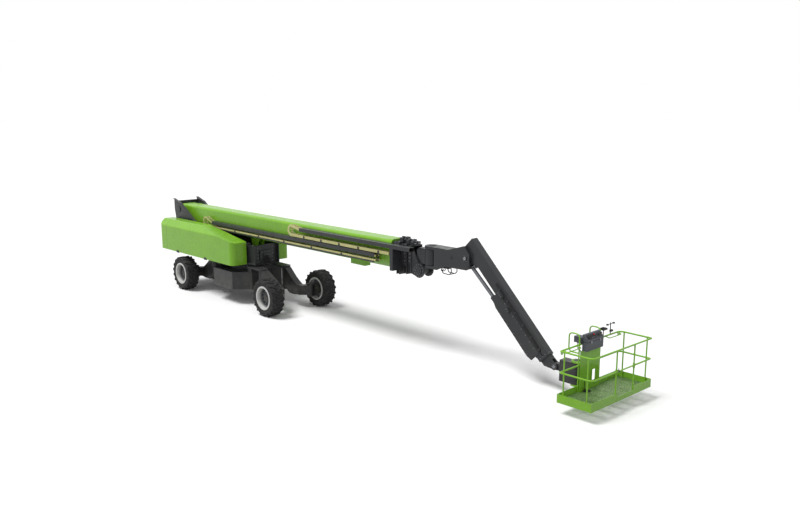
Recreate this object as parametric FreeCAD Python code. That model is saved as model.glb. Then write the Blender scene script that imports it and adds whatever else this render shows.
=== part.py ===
import FreeCAD, Part
import math
import os

# Telescopic boom lift: a turret on four swinging legs carries a four-stage boom, a jib and a work
# platform. Sizes are in millimetres. X points forward along the lowered boom, Y to the left and Z
# up. Pieces are worked out with the slewing axis at X = 0 and the ground at Z = 0, and export()
# moves them so that the origin is on the ground under the middle of the machine's length.

# Clearances
pin_clearance = 0.5        # round a pin or shaft
seat_clearance = 0.3       # between curved faces of one assembly
slide_clearance = 1.0      # beside a sliding pad
free_gap = 5.0             # beside anything else that moves

# Wheels
wheelbase = 5500
track = 2120
tyre_diameter = 1240
tyre_width = 450
tyre_shoulder = 60
lug_height = 30
lug_length = 75             # along the tread
lug_count = 18              # on each half of the tread
lug_slant = 70             # how far a lug's outer end lags its inner end
lug_overlap = 20           # of the two halves at the middle of the tread
lug_edge = 25
lug_side = 18              # how far a lug stands out of the sidewall
lug_root = 90              # how far it runs down the sidewall
rim_diameter = 780
rim_seat_radius = 350
rim_thickness = 14
rim_dish = 60              # how far the disc lies inside the wheel's middle plane
rim_throat = 40
rim_slope = 60
rim_swell = 20
rim_width = 430
hub_radius = 150
hub_reach = 80             # hub cover beyond the wheel's middle plane

# Steering knuckles
kingpin_offset = 440       # from the kingpin to the wheel's middle plane
kingpin_radius = 45
kingpin_boss_radius = 105
kingpin_boss_height = 330
knuckle_ear = 50
knuckle_web = 40
knuckle_gap = 20
motor_collar = 45
motor_end = 100

# Swinging legs
leg_hinge_x = 1550
leg_hinge_y = 480
leg_pin_radius = 60
leg_boss_radius = 130
leg_width = 230
leg_wall = 18
leg_elbow_x = 2120         # where the leg leaves its slope
leg_toe_x = 2530           # where it turns outward to the kingpin
leg_toe_y = 410
leg_deep_z = 430
leg_slope_end = 210
leg_flat_start = 350
leg_deep_start = 150
leg_deep_end = 180
leg_hatch_length = 200
leg_hatch_width = 120
leg_low_z = 860            # top of the lowered end

# Chassis
chassis_half_length = 1100
chassis_half_width = 1100
chassis_corner = 490
chassis_bottom = 530
chassis_top = 1140
chassis_plate = 25
chassis_hatch_radius = 320
ear_thickness = 50
ear_radius = 170
ear_top = 1320
ear_bottom = 500
chassis_web_x = 600
tower_depth = 230
tower_half_width = 650
tie_bore_radius = 20
tie_lug_radius = 55
tie_lug_thickness = 40

# Slewing ring
ring_outer_radius = 650
ring_inner_radius = 450
ring_height = 115
spigot_wall = 70
pedestal_radius = 600

# Turret
deck_top = 1385
deck_plate = 20
deck_half_width = 1100
deck_tail = -4120
deck_front = 600
cheek_outer = 500
cheek_plate = 30
cheek_front = 1150
cheek_rear = -4470
cheek_foot_x = -4250
cheek_front_top = 2040
cheek_waist_x = -2400
cheek_waist_z = 2140
cheek_knee_x = -3000
cheek_knee_z = 2530
cheek_crown_x = -3950
cheek_crown_z = 3090
cheek_tip_z = 3230
cheek_tip_width = 70
cheek_tip_drop = 10
cheek_foot_z = 1900
pivot_cap_rise = 40
cheek_round = 60
crown_bar = 70
crown_bar_low = 2960
crown_bar_high = 3140
front_plate_top = 2030
front_plate_back = 150     # behind the cheeks' front edges
flange_plate = 16
flange_inner = 440
flange_outer = 545
lift_lug_foot = 160
lift_lug_shoulder = 90
counterweight_length = 760
counterweight_height = 575
side_weight_height = 760
engine_size = (1150, 500, 700)
engine_rear = -2700
tank_size = (1700, 480, 640)
tank_rear = -2600
engine_gap = 70
weight_gap = 10

# Hoods
hood_overhang = 80         # beyond the deck's edge
hood_inner = 600
hood_bottom = 1380
hood_side_top = 2300
hood_top = 2520
hood_flat_y = 950
hood_rear = -4450
hood_front = 780
hood_slope_x = -1650
hood_nose_z = 2170
hood_wall = 20
hood_corner = 180
hood_end_edge = 60
hood_slope_edge = 140
hood_side_edge = 80
hood_hinge_xs = (-3900, -3150)
hood_hinge_z = 2490
hood_pin_radius = 14
hood_barrel_radius = 24
hood_barrel_half = 50
hood_barrel_bite = 4
hinge_plate = 15

# Boom
boom_width = 600
boom_top = 3040
boom_bottom = 2195
boom_corner = 90
boom_wall = 8
boom_gap = 27              # between one section and the next
boom_tail = -4250
boom_front = 7900
section_tails = (-3900, -3750, -3600)
section_fronts = (8200, 8450, 8600)
collar_length = 130
collar_rise = 20
collar_plate = 25
collar_foot = 125          # how far a collar's plates reach below its section
rest_x = 5850
rest_length = 650
rest_half_width = 110
rest_drop = 120            # of the rest block below the boom
block_half_width = 150
block_rise = (120, 115, 110)
liner_length = 150
boom_pivot_x = -4100
boom_pivot_z = 2850
boom_pin_radius = 70
boom_boss_radius = 150

# Boom lift cylinder
lift_base_x = -3200
lift_base_z = 1620
lift_eye_x = 600
lift_eye_z = 1860
lift_barrel_length = 3350
lift_barrel_radius = 140
lift_rod_radius = 80
lift_eye_radius = 90
lift_eye_width = 170
lift_pin_radius = 55
lift_lug_plate = 40
lift_ear_foot = 260
lift_ear_half = 90
lift_ear_drop = 40
lift_ear_tip = 100
lift_ear_root = 60
pin_head = 20
barrel_wall = 25
gland_length = 100
piston_length = 60

# Hose carriers on the right side of the boom
carrier_inner = 340
carrier_width = 190
carrier_plate = 8
chain_ramp = 450           # over which a chain comes down from its loop into its channel
lower_loop_x = -2250
lower_front = 7400
lower_run_z = 2400
lower_loop_top = 2760
lower_channel = (2520, 2628)   # bottom and top
lower_chain_height = 55
upper_loop_x = 3150
upper_front = 7950
upper_run_z = 2650
upper_loop_top = 3030
upper_channel = (2850, 2958)   # bottom and top
upper_chain_height = 85
channel_front = 8850
shelf_height = 38
hook_length = 60
lower_hook_x = -1570
lower_hook_pitch = 1490
lower_hook_count = 6
upper_hook_x = 4000
upper_hook_pitch = 885
upper_hook_count = 5
arm_count = 6
bracket_rear = 8060
bracket_length = 120
bracket_bottom = 2230

# Boom head
head_pivot_x = 8870
head_pivot_z = 2300
head_pin_radius = 45
nose_plate = 40
nose_boss_radius = 130
nose_end_radius = 205
nose_boss_rise = 20
nose_top_drop = 140
nose_overhang = 20
head_half_width = 145
swing_x = 9200
drum_radius = 200
head_boss_radius = 120
head_neck = 115
head_neck_top = 40
head_shoulder = 70
head_heel_gap = 10
drum_bottom = 2500
drum_top = 2930
swing_pin_radius = 60
yoke_plate = 75
yoke_gap_high = 15
yoke_gap_low = 10
yoke_reach = 60

# Jib
jib_pivot_x = 10590
jib_pivot_z = 2870
jib_slope = 45             # degrees below level at rest
jib_ear_outer = 200
jib_ear_plate = 35
jib_pin_radius = 50
jib_box_end = 9980
jib_box_low = 2550
jib_ear_crown = (10540, 3190)
jib_ear_front = 10730
jib_eye_margin = 75        # of the ears round the ram's eye
jib_ear_rounding = [0, 0, 60, 30, 60, 40, 40, 0, 0, 0]
jib_arm_half_width = 105
jib_arm_bottom = 118
jib_arm_top = 465
jib_arm_end = 3280
jib_arm_wall = 12
jib_rear = 280
jib_rear_low = 60
jib_throat = 330           # where the arm's underside meets its boss
jib_heel = 60              # how far the boss's web reaches below the pivot
jib_guard_start = 1230
jib_guard_end = 3110
jib_guard_top = 250
jib_guard_bottom = -110
jib_guard_plate = 12
jib_guard_slope = 160
jib_guard_cut = 180
jib_guard_foot = 110
jib_guard_step = 50
jib_boss_radius = 115
jib_tube_gap = 15
jib_tube_wall = 8
jib_tube_start = 900
jib_tube_end = 3400
jib_pad_length = 100
jib_ram_base = (2950, 20)      # along the jib and above the line through its pivot
jib_ram_eye_x = 10650
jib_ram_eye_z = 2640
jib_barrel_length = 1750
jib_barrel_radius = 80
jib_rod_radius = 50
jib_eye_radius = 60
jib_eye_width = 96
jib_ram_pin_radius = 35
jib_lug_plate = 35
jib_lug_foot = 130
jib_lug_half = 70
jib_lug_drop = 40
jib_back_travel = 45       # of the rod when the jib is lowered below its rest

# Platform support
level_pivot = (3578, 396)      # along the jib and above the line through its pivot
level_boss_radius = 85
level_pin_radius = 35
fork_plate = 25
fork_length = 150
fork_tip = 40
fork_half_height = 75
support_rear = 13585
support_half_width = 130
support_bottom = 330
support_top = 850
turn_x = 13980
turn_radius = 130
turn_pin_radius = 45
turn_plate = 40
turn_web = 100

# Platform
platform_back = 14320
platform_depth = 890
platform_width = 2440
platform_bottom = 270
toe_board_height = 200
toe_board_plate = 8
floor_z = 330
floor_plate = 12
floor_beam = 50
floor_beam_count = 5
rail_top = 1470
rail_radius = 20
post_radius = 17
rail_corners = (110, 35, 110, 35)  # front right, back right, back left and front left
post_inset = 140
gate_right = -250
gate_left = 470
gate_drop = 90             # how much lower the toe board is in the gateway
gate_sleeve_height = 110
gate_sleeve_wall = 9
gate_lift = 350
panel_middle = -70
panel_half_width = 410
panel_plate = 20
panel_top = 1300
slot_middle = 50
slot_half_width = 110
slot_bottom = 470
slot_height = 300
console_right = -400
console_left = 220
console_depth = 150
console_height = 380
console_shoulder = 250     # up to where its front is upright
console_slope = 100        # how far its sloping top runs back
console_round = 20
junction_box = (200, 180, 140)  # behind the console: back, across and up
junction_right = -440
loop_reach = 110           # of the hand loops, inward from the back rail
loop_drop = 30
loop_radius = 12
loop_bend = 40
loop_ends = (560, 1080)
hoop_reach = 280
hoop_top = 1690
hoop_foot = 1250
hoop_round = 90
hoop_radius = 16
sensor_y = 760
sensor_top = 1740
sensor_stem = 12
sensor_rod = 8
sensor_arm = 130
sensor_cup = 30
sensor_box = 45
lamp_y = 470
lamp_stem = 10
lamp_height = 150          # above the rail
lamp_size = (120, 150, 40)
anchor_y = 1130
anchor_drop = 10
anchor_bore_radius = 20
anchor_radius = 42
anchor_plate = 16

# Worked out from the sizes above
kingpin_x = wheelbase / 2
kingpin_y = track / 2 - kingpin_offset
axle_z = tyre_diameter / 2
boss_low = axle_z - kingpin_boss_height / 2
boss_high = axle_z + kingpin_boss_height / 2
boom_half = boom_width / 2
boom_spring_z = boom_bottom + boom_half      # centre of the round bottom
boom_step = boom_wall + boom_gap
fly_half = boom_half - 3 * boom_step
ring_top = chassis_top + ring_height
deck_bottom = deck_top - deck_plate
cheek_inner = cheek_outer - cheek_plate
hood_outer = deck_half_width + hood_overhang
hood_hinge_y = hood_inner - hood_barrel_radius + hood_barrel_bite
carrier_outer = carrier_inner + carrier_width
chain_width = carrier_width - 2 * (carrier_plate + free_gap)
chain_y = -(carrier_outer + carrier_inner + chain_width) / 2
jib_tube_half_width = jib_arm_half_width - jib_arm_wall - jib_tube_gap
jib_tube_low = jib_arm_bottom + jib_arm_wall + jib_tube_gap
jib_tube_high = jib_arm_top - jib_arm_wall - jib_tube_gap
platform_front = platform_back + platform_depth
platform_half = platform_width / 2
rail_z = rail_top - rail_radius
mid_rail_z = (rail_z + platform_bottom + toe_board_height) / 2
rail_back = platform_back + toe_board_plate + seat_clearance + rail_radius
rail_front = platform_front - toe_board_plate - seat_clearance - rail_radius
rail_half = platform_half - toe_board_plate - seat_clearance - rail_radius
panel_x = rail_back + rail_radius + seat_clearance
slew_x = -(platform_front + cheek_rear) / 2

CORNERS = {"front_left": (1, 1), "front_right": (1, -1), "rear_left": (-1, 1), "rear_right": (-1, -1)}


def vec(x, y, z):
    return FreeCAD.Vector(x, y, z)


ORIGIN = vec(0, 0, 0)
X_AXIS = vec(1, 0, 0)
Y_AXIS = vec(0, 1, 0)
Z_AXIS = vec(0, 0, 1)
# For each drawing plane: its two directions and its normal
PLANES = {
    "xy": (X_AXIS, Y_AXIS, Z_AXIS),
    "xz": (X_AXIS, Z_AXIS, Y_AXIS),
    "yz": (Y_AXIS, Z_AXIS, X_AXIS),
}


def box(x0, x1, y0, y1, z0, z1):
    return Part.makeBox(x1 - x0, y1 - y0, z1 - z0, vec(x0, y0, z0))


def rod(start, end, radius):
    """Round bar between two points."""
    along = vec(*end) - vec(*start)
    return Part.makeCylinder(radius, along.Length, vec(*start), along)


def cross_rod(x, z, radius, half_width):
    """Round bar along Y, as long to the left as to the right."""
    return rod((x, -half_width, z), (x, half_width, z), radius)


def upright(x, y, radius, z0, z1):
    return rod((x, y, z0), (x, y, z1), radius)


def join(shapes):
    whole = shapes[0].fuse(shapes[1:]) if len(shapes) > 1 else shapes[0]
    return whole.removeSplitter()


def both_sides(shape):
    """The shape and its mirror image across the machine's middle plane."""
    return [shape, shape.mirror(ORIGIN, Y_AXIS)]


def to_corner(shape, corner):
    """A piece of the front left corner, carried to another corner."""
    ahead, left = CORNERS[corner]
    if ahead < 0:
        shape = shape.mirror(ORIGIN, X_AXIS)
    if left < 0:
        shape = shape.mirror(ORIGIN, Y_AXIS)
    return shape


def unit(vector):
    return vector * (1 / vector.Length)


def rounded_corner(before, corner, after, radius):
    """Start, middle and end of the arc that rounds a corner."""
    to_before = unit(before - corner)
    to_after = unit(after - corner)
    half = to_before.getAngle(to_after) / 2
    back = radius / math.tan(half)
    bisector = unit(to_before + to_after)
    middle = corner + bisector * (radius / math.sin(half) - radius)
    return corner + to_before * back, middle, corner + to_after * back


def outline(plane, points, radii=0):
    """Closed wire through 2-D points, its corners rounded by one radius or by one radius each."""
    across, upward, _ = PLANES[plane]
    corners = [across * a + upward * b for a, b in points]
    if not isinstance(radii, (list, tuple)):
        radii = [radii] * len(corners)
    edges = []
    ends = []
    for i, corner in enumerate(corners):
        if radii[i] > 0:
            after = corners[(i + 1) % len(corners)]
            start, middle, end = rounded_corner(corners[i - 1], corner, after, radii[i])
            edges.append(Part.Arc(start, middle, end).toShape())
            ends.append((start, end))
        else:
            ends.append((corner, corner))
    for i, (_, leaves) in enumerate(ends):
        arrives = ends[(i + 1) % len(ends)][0]
        if leaves.distanceToPoint(arrives) > 1e-6:
            edges.append(Part.makeLine(leaves, arrives))
    return Part.Wire(Part.__sortEdges__(edges))


def prism(plane, points, low, high, radii=0):
    """Outline drawn in a plane and extruded from one level along its normal to another."""
    normal = PLANES[plane][2]
    face = Part.Face(outline(plane, points, radii))
    face.translate(normal * low)
    return face.extrude(normal * (high - low))


def revolved_about_y(points, centre):
    """Ring turned from a profile of (distance along Y, radius) points about a Y axis."""
    face = Part.Face(outline("yz", points))
    face.translate(vec(*centre))
    return face.revolve(vec(*centre), Y_AXIS, 360)


def ribbon(points, half_width):
    """Outline of a bar of constant width that follows a bent line in plan."""
    lines = [FreeCAD.Vector(x, y, 0) for x, y in points]
    left = []
    right = []
    for i, point in enumerate(lines):
        into = unit(point - lines[i - 1]) if i > 0 else unit(lines[1] - point)
        out = unit(lines[i + 1] - point) if i + 1 < len(lines) else into
        across = unit(vec(-(into.y + out.y), into.x + out.x, 0))
        reach = half_width / across.dot(vec(-into.y, into.x, 0))
        left.append((point.x + across.x * reach, point.y + across.y * reach))
        right.append((point.x - across.x * reach, point.y - across.y * reach))
    return left + right[::-1]


def bent_tube(points, radius, bends):
    """Round tube along straight runs joined by tangent bends of one radius, or of one radius each."""
    corners = [vec(*p) for p in points]
    if not isinstance(bends, (list, tuple)):
        bends = [bends] * (len(corners) - 2)
    edges = []
    leaves = corners[0]
    for i, bend in enumerate(bends):
        start, middle, end = rounded_corner(corners[i], corners[i + 1], corners[i + 2], bend)
        edges.append(Part.makeLine(leaves, start))
        edges.append(Part.Arc(start, middle, end).toShape())
        leaves = end
    edges.append(Part.makeLine(leaves, corners[-1]))
    path = Part.Wire(edges)
    section = Part.Wire(Part.makeCircle(radius, corners[0], corners[1] - corners[0]))
    return path.makePipeShell([section], True, False)


def ram(base, eye, sizes):
    """Barrel and rod of a hydraulic cylinder that lies from its base pin to its rod's eye."""
    length, radius, rod_radius, eye_radius, eye_width, pin_radius, back_travel = sizes
    reach = math.hypot(eye[0] - base[0], eye[1] - base[1])
    half = eye_width / 2
    neck = 2 * eye_radius
    cap = neck + barrel_wall
    bore = radius - barrel_wall
    shank = box(0, neck + 1, -half, half, -eye_radius * 0.7, eye_radius * 0.7)
    barrel = join([cross_rod(0, 0, eye_radius, half), shank, rod((neck, 0, 0), (length, 0, 0), radius)])
    barrel = barrel.cut(rod((cap, 0, 0), (length - gland_length, 0, 0), bore))
    barrel = barrel.cut(rod((cap, 0, 0), (length + 1, 0, 0), rod_radius + pin_clearance))
    barrel = barrel.cut(cross_rod(0, 0, pin_radius + pin_clearance, eye_width))
    piston_x = cap + free_gap + back_travel
    piston = rod((piston_x, 0, 0), (piston_x + piston_length, 0, 0), bore - pin_clearance)
    shaft = rod((piston_x, 0, 0), (reach, 0, 0), rod_radius)
    moving = join([piston, shaft, cross_rod(reach, 0, eye_radius, half)])
    rise = math.degrees(math.atan2(eye[1] - base[1], eye[0] - base[0]))
    for piece in (barrel, moving):
        piece.rotate(ORIGIN, Y_AXIS, -rise)
        piece.translate(vec(base[0], 0, base[1]))
    return barrel, moving


# Undercarriage


def chassis_outline(inset):
    length = chassis_half_length - inset
    width = chassis_half_width - inset
    corner = chassis_corner - inset * (2 - math.sqrt(2))
    quarter = [(length, width - corner), (length - corner, width)]
    left = quarter + [(-x, y) for x, y in quarter[::-1]]
    return left + [(x, -y) for x, y in left[::-1]]


def hinge_ears():
    """Upper and lower ear of the front left leg, its pin and the tie-down lug beside it."""
    ears = []
    tower_rear = chassis_half_length - tower_depth
    for z0, rear in ((ear_top - ear_thickness, tower_rear), (ear_bottom, chassis_half_length)):
        y0, y1 = leg_hinge_y - ear_radius, leg_hinge_y + ear_radius
        ears.append(box(rear, leg_hinge_x, y0, y1, z0, z0 + ear_thickness))
        ears.append(upright(leg_hinge_x, leg_hinge_y, ear_radius, z0, z0 + ear_thickness))
    ears.append(upright(leg_hinge_x, leg_hinge_y, leg_pin_radius, ear_bottom, ear_top))
    return ears


def tie_lug():
    """Plate with a round hole at the front left face of the chassis, for lashing it down."""
    y0 = leg_hinge_y / 2 - tie_lug_thickness / 2
    z = chassis_bottom + 2 * tie_lug_radius
    x = chassis_half_length + tie_lug_radius
    plate = box(chassis_half_length - chassis_plate, x, y0, y0 + tie_lug_thickness,
                z - tie_lug_radius, z + tie_lug_radius)
    nose = rod((x, y0, z), (x, y0 + tie_lug_thickness, z), tie_lug_radius)
    hole = rod((x, y0 - 1, z), (x, y0 + tie_lug_thickness + 1, z), tie_bore_radius)
    return plate.fuse(nose).cut(hole)


def chassis_frame():
    shell = prism("xy", chassis_outline(0), chassis_bottom, chassis_top)
    hollow = prism("xy", chassis_outline(chassis_plate),
                   chassis_bottom + chassis_plate, chassis_top - chassis_plate)
    webs = both_sides(box(-chassis_half_length, chassis_half_length, leg_hinge_y, leg_hinge_y + chassis_plate,
                          chassis_bottom, chassis_top))
    for x in (-chassis_web_x, chassis_web_x):
        webs.append(box(x, x + chassis_plate, -chassis_half_width, chassis_half_width,
                        chassis_bottom, chassis_top))
    shell = shell.cut(hollow.cut(join(webs)))
    floor = chassis_bottom + chassis_plate
    shell = shell.cut(upright(0, 0, chassis_hatch_radius, chassis_bottom - 1, floor + 1))
    pieces = [shell]
    front = chassis_half_length + chassis_plate
    tower = box(front - tower_depth, front, -tower_half_width, tower_half_width, chassis_top, ear_top)
    pieces += [tower, tower.mirror(ORIGIN, X_AXIS)]
    for corner in CORNERS:
        pieces += [to_corner(piece, corner) for piece in hinge_ears() + [tie_lug()]]
    return join(pieces)


def slew_ring():
    ring = upright(0, 0, ring_outer_radius, chassis_top, ring_top)
    return ring.cut(upright(0, 0, ring_inner_radius, chassis_top - 1, ring_top + 1))


def leg_sides(inset):
    """Side view of a leg: high at its hinge, then sloping down to the kingpin."""
    low = ear_bottom + ear_thickness + free_gap + inset
    high = ear_top - ear_thickness - free_gap - inset
    far = kingpin_x + leg_width
    shoulder = leg_hinge_x + ear_radius + 2 * free_gap
    return [
        (leg_hinge_x - leg_width, high), (shoulder, high), (leg_elbow_x + leg_slope_end, leg_low_z - inset),
        (leg_elbow_x + leg_flat_start, boss_high - inset), (far, boss_high - inset), (far, boss_low + inset),
        (leg_elbow_x + leg_flat_start, boss_low + inset), (leg_elbow_x + leg_deep_end, leg_deep_z + inset),
        (leg_elbow_x - leg_deep_start, leg_deep_z + inset), (shoulder, low), (leg_hinge_x - leg_width, low),
    ]


def leg_body(inset):
    line = [(leg_hinge_x, leg_hinge_y), (leg_elbow_x, leg_toe_y),
            (leg_toe_x, leg_toe_y), (kingpin_x, kingpin_y)]
    plan = prism("xy", ribbon(line, leg_width / 2 - inset), 0, ear_top)
    return plan.common(prism("xz", leg_sides(inset), 0, 2 * kingpin_y))


def leg():
    low = ear_bottom + ear_thickness + free_gap
    high = ear_top - ear_thickness - free_gap
    half_length, half_width = leg_hatch_length / 2, leg_hatch_width / 2
    hatch = box(leg_elbow_x - half_length, leg_elbow_x + half_length, leg_toe_y - half_width,
                leg_toe_y + half_width, leg_deep_z - 1, leg_deep_z + leg_wall + 1)
    hinge_boss = upright(leg_hinge_x, leg_hinge_y, leg_boss_radius, low, high)
    king_boss = upright(kingpin_x, kingpin_y, kingpin_boss_radius, boss_low, boss_high)
    body = leg_body(0).cut(leg_body(leg_wall)).cut(hatch)
    body = join([body, hinge_boss, king_boss])
    body = body.cut(upright(leg_hinge_x, leg_hinge_y, leg_pin_radius + pin_clearance, low - 1, high + 1))
    bore = kingpin_radius + pin_clearance
    return body.cut(upright(kingpin_x, kingpin_y, bore, boss_low - 1, boss_high + 1))


def knuckle():
    """Steering yoke round the leg's kingpin boss, with the wheel drive on its outer side."""
    web_y = kingpin_y + kingpin_boss_radius + knuckle_gap
    face_y = web_y + knuckle_web
    low = boss_low - free_gap - knuckle_ear
    high = boss_high + free_gap + knuckle_ear
    pieces = [box(kingpin_x - kingpin_boss_radius, kingpin_x + kingpin_boss_radius, web_y, face_y, low, high)]
    for z0 in (low, high - knuckle_ear):
        pieces.append(upright(kingpin_x, kingpin_y, kingpin_boss_radius, z0, z0 + knuckle_ear))
        pieces.append(box(kingpin_x - kingpin_boss_radius, kingpin_x + kingpin_boss_radius,
                          kingpin_y, face_y, z0, z0 + knuckle_ear))
    pieces.append(upright(kingpin_x, kingpin_y, kingpin_radius, low, high))
    wheel_y = track / 2
    pieces.append(rod((kingpin_x, web_y, axle_z), (kingpin_x, wheel_y - rim_dish - motor_end, axle_z),
                      hub_radius + motor_collar))
    pieces.append(rod((kingpin_x, face_y, axle_z), (kingpin_x, wheel_y + hub_reach, axle_z), hub_radius))
    return join(pieces)


def rim():
    half = rim_width / 2
    flange = rim_diameter / 2
    inner = rim_seat_radius - rim_thickness
    throat = inner - rim_throat
    disc = -rim_dish
    bore = hub_radius + pin_clearance
    profile = [
        (-half, inner), (-half, flange),
        (rim_thickness - half, flange), (rim_thickness - half, rim_seat_radius),
        (half - rim_thickness, rim_seat_radius), (half - rim_thickness, flange),
        (half, flange), (half, inner),
        (disc + rim_slope, throat), (disc, throat - rim_swell), (disc, bore), (disc - rim_thickness, bore),
        (disc - rim_thickness, throat), (disc - rim_slope, inner),
    ]
    return revolved_about_y(profile, (kingpin_x, track / 2, axle_z))


def many_sided(stations):
    """Solid about the Y axis with a flat for each lug, through (radius, y) stations."""
    rings = []
    for radius, y in stations:
        reach = radius / math.cos(math.pi / 2 / lug_count)
        corners = []
        for i in range(2 * lug_count + 1):
            angle = (i + 0.5) * math.pi / lug_count
            corners.append(vec(reach * math.sin(angle), y, reach * math.cos(angle)))
        rings.append(Part.makePolygon(corners))
    return Part.makeLoft(rings, True, True)


def lugs():
    """Slanted bars across the tread, those of one half between those of the other."""
    half = tyre_width / 2
    outer = tyre_diameter / 2
    foot = outer - lug_height - lug_root
    envelope = many_sided([(outer - lug_edge, -half), (outer, lug_edge - half), (outer, half - lug_edge),
                           (outer - lug_edge, half)])
    bars = []
    for i in range(2 * lug_count):
        side = 1 if i % 2 else -1
        plan = [(-lug_length / 2, -side * lug_overlap), (lug_length / 2, -side * lug_overlap),
                (lug_length / 2 - lug_slant, side * half), (-lug_length / 2 - lug_slant, side * half)]
        bar = prism("xy", plan, foot, outer + lug_height)
        bar.rotate(ORIGIN, Y_AXIS, i * 180 / lug_count)
        bars.append(bar.common(envelope))
    return bars


def tyre():
    half = tyre_width / 2 - lug_side
    outer = tyre_diameter / 2 - lug_height
    wall = outer - 2 * tyre_shoulder
    seat = rim_seat_radius + seat_clearance
    bead = rim_width / 2 - rim_thickness - seat_clearance
    flange = rim_diameter / 2 + seat_clearance
    lip = flange + tyre_shoulder
    casing = many_sided([(wall, -half), (outer, tyre_shoulder - half), (outer, half - tyre_shoulder), (wall, half)])
    bore = revolved_about_y([
        (-half - 1, 0), (-half - 1, lip), (-half, lip), (-bead, flange), (-bead, seat),
        (bead, seat), (bead, flange), (half, lip), (half + 1, lip), (half + 1, 0),
    ], (0, 0, 0))
    body = casing.fuse(lugs()).cut(bore)
    body.translate(vec(kingpin_x, track / 2, axle_z))
    return body


# Turret


def cheek_outline():
    return [
        (cheek_front, deck_top), (cheek_front, cheek_front_top), (cheek_waist_x, cheek_waist_z),
        (cheek_knee_x, cheek_knee_z), (cheek_crown_x, cheek_crown_z), (cheek_rear, cheek_tip_z),
        (cheek_rear, boom_pivot_z - cheek_tip_drop), (cheek_rear + cheek_tip_width, cheek_knee_z),
        (cheek_foot_x, cheek_foot_z),
        (cheek_foot_x, deck_top),
    ]


def lift_lug():
    """Left ear on the deck for the lift cylinder's lower eye."""
    inner = lift_eye_width / 2 + free_gap
    shoulder = lift_base_z + lift_pin_radius
    points = [(lift_base_x - lift_lug_foot, deck_top), (lift_base_x - lift_lug_shoulder, shoulder),
              (lift_base_x, shoulder + lift_pin_radius), (lift_base_x + lift_lug_shoulder, shoulder),
              (lift_base_x + lift_lug_foot, deck_top)]
    rounding = lift_lug_plate
    return prism("xz", points, inner, inner + lift_lug_plate, [0, rounding, rounding, rounding, 0])


def turret_frame():
    cheek = prism("xz", cheek_outline(), cheek_inner, cheek_outer)
    pieces = both_sides(cheek)
    pieces.append(box(cheek_foot_x, cheek_front, -cheek_outer, cheek_outer, deck_bottom, deck_top))
    pieces.append(box(deck_tail, deck_front, -deck_half_width, deck_half_width, deck_bottom, deck_top))
    pieces.append(box(cheek_rear, cheek_rear + crown_bar, -cheek_outer, cheek_outer,
                      crown_bar_low, crown_bar_high))
    plate_x = cheek_front - front_plate_back
    pieces.append(box(plate_x, plate_x + cheek_plate, -cheek_outer, cheek_outer,
                      deck_bottom, front_plate_top))
    edge = ribbon(cheek_outline()[2:6], flange_plate / 2)
    pieces += both_sides(prism("xz", edge, flange_inner, flange_outer))
    pieces += both_sides(lift_lug())
    pieces.append(cross_rod(lift_base_x, lift_base_z, lift_pin_radius,
                            lift_eye_width / 2 + lift_lug_plate + pin_head))
    pieces.append(cross_rod(boom_pivot_x, boom_pivot_z, boom_pin_radius, cheek_outer + pin_head))
    pieces += both_sides(rod((boom_pivot_x, cheek_outer, boom_pivot_z),
                             (boom_pivot_x, cheek_outer + pin_head, boom_pivot_z),
                             boom_pin_radius + pivot_cap_rise))
    return join(pieces + both_sides(join(hood_hinges())))


def turret_pedestal():
    """Flange under the deck, with the spigot that turns inside the slewing ring."""
    spigot = upright(0, 0, ring_inner_radius - pin_clearance, chassis_top + free_gap, deck_bottom)
    flange = upright(0, 0, pedestal_radius, ring_top + free_gap, deck_bottom)
    bore = upright(0, 0, ring_inner_radius - spigot_wall, chassis_top - 1, deck_bottom)
    return spigot.fuse(flange).cut(bore)


def hood_hinges():
    """Brackets on the left cheek and the pins that its hood swings on."""
    y, z = hood_hinge_y, hood_hinge_z
    pieces = []
    for x in hood_hinge_xs:
        for side in (-1, 1):
            near = x + side * (hood_barrel_half + free_gap)
            x0, x1 = sorted((near, near + side * hinge_plate))
            pieces.append(box(x0, x1, cheek_inner, y, z - hood_pin_radius, z + hood_pin_radius))
        reach = hood_barrel_half + free_gap + hinge_plate
        pieces.append(rod((x - reach, y, z), (x + reach, y, z), hood_pin_radius))
    return pieces


def counterweight():
    rear = cheek_foot_x + weight_gap
    inner = cheek_inner - free_gap
    middle = box(rear, rear + counterweight_length, -inner, inner, deck_top, deck_top + counterweight_height)
    side = box(deck_tail, deck_tail + counterweight_length, cheek_outer + free_gap, deck_half_width,
               deck_top, deck_top + side_weight_height)
    return Part.makeCompound([middle] + both_sides(side))


def engine_block():
    length, width, height = engine_size
    y1 = -(cheek_outer + engine_gap)
    return box(engine_rear, engine_rear + length, y1 - width, y1, deck_top, deck_top + height)


def tank():
    length, width, height = tank_size
    y0 = cheek_outer + engine_gap
    return box(tank_rear, tank_rear + length, y0, y0 + width, deck_top, deck_top + height)


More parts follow.
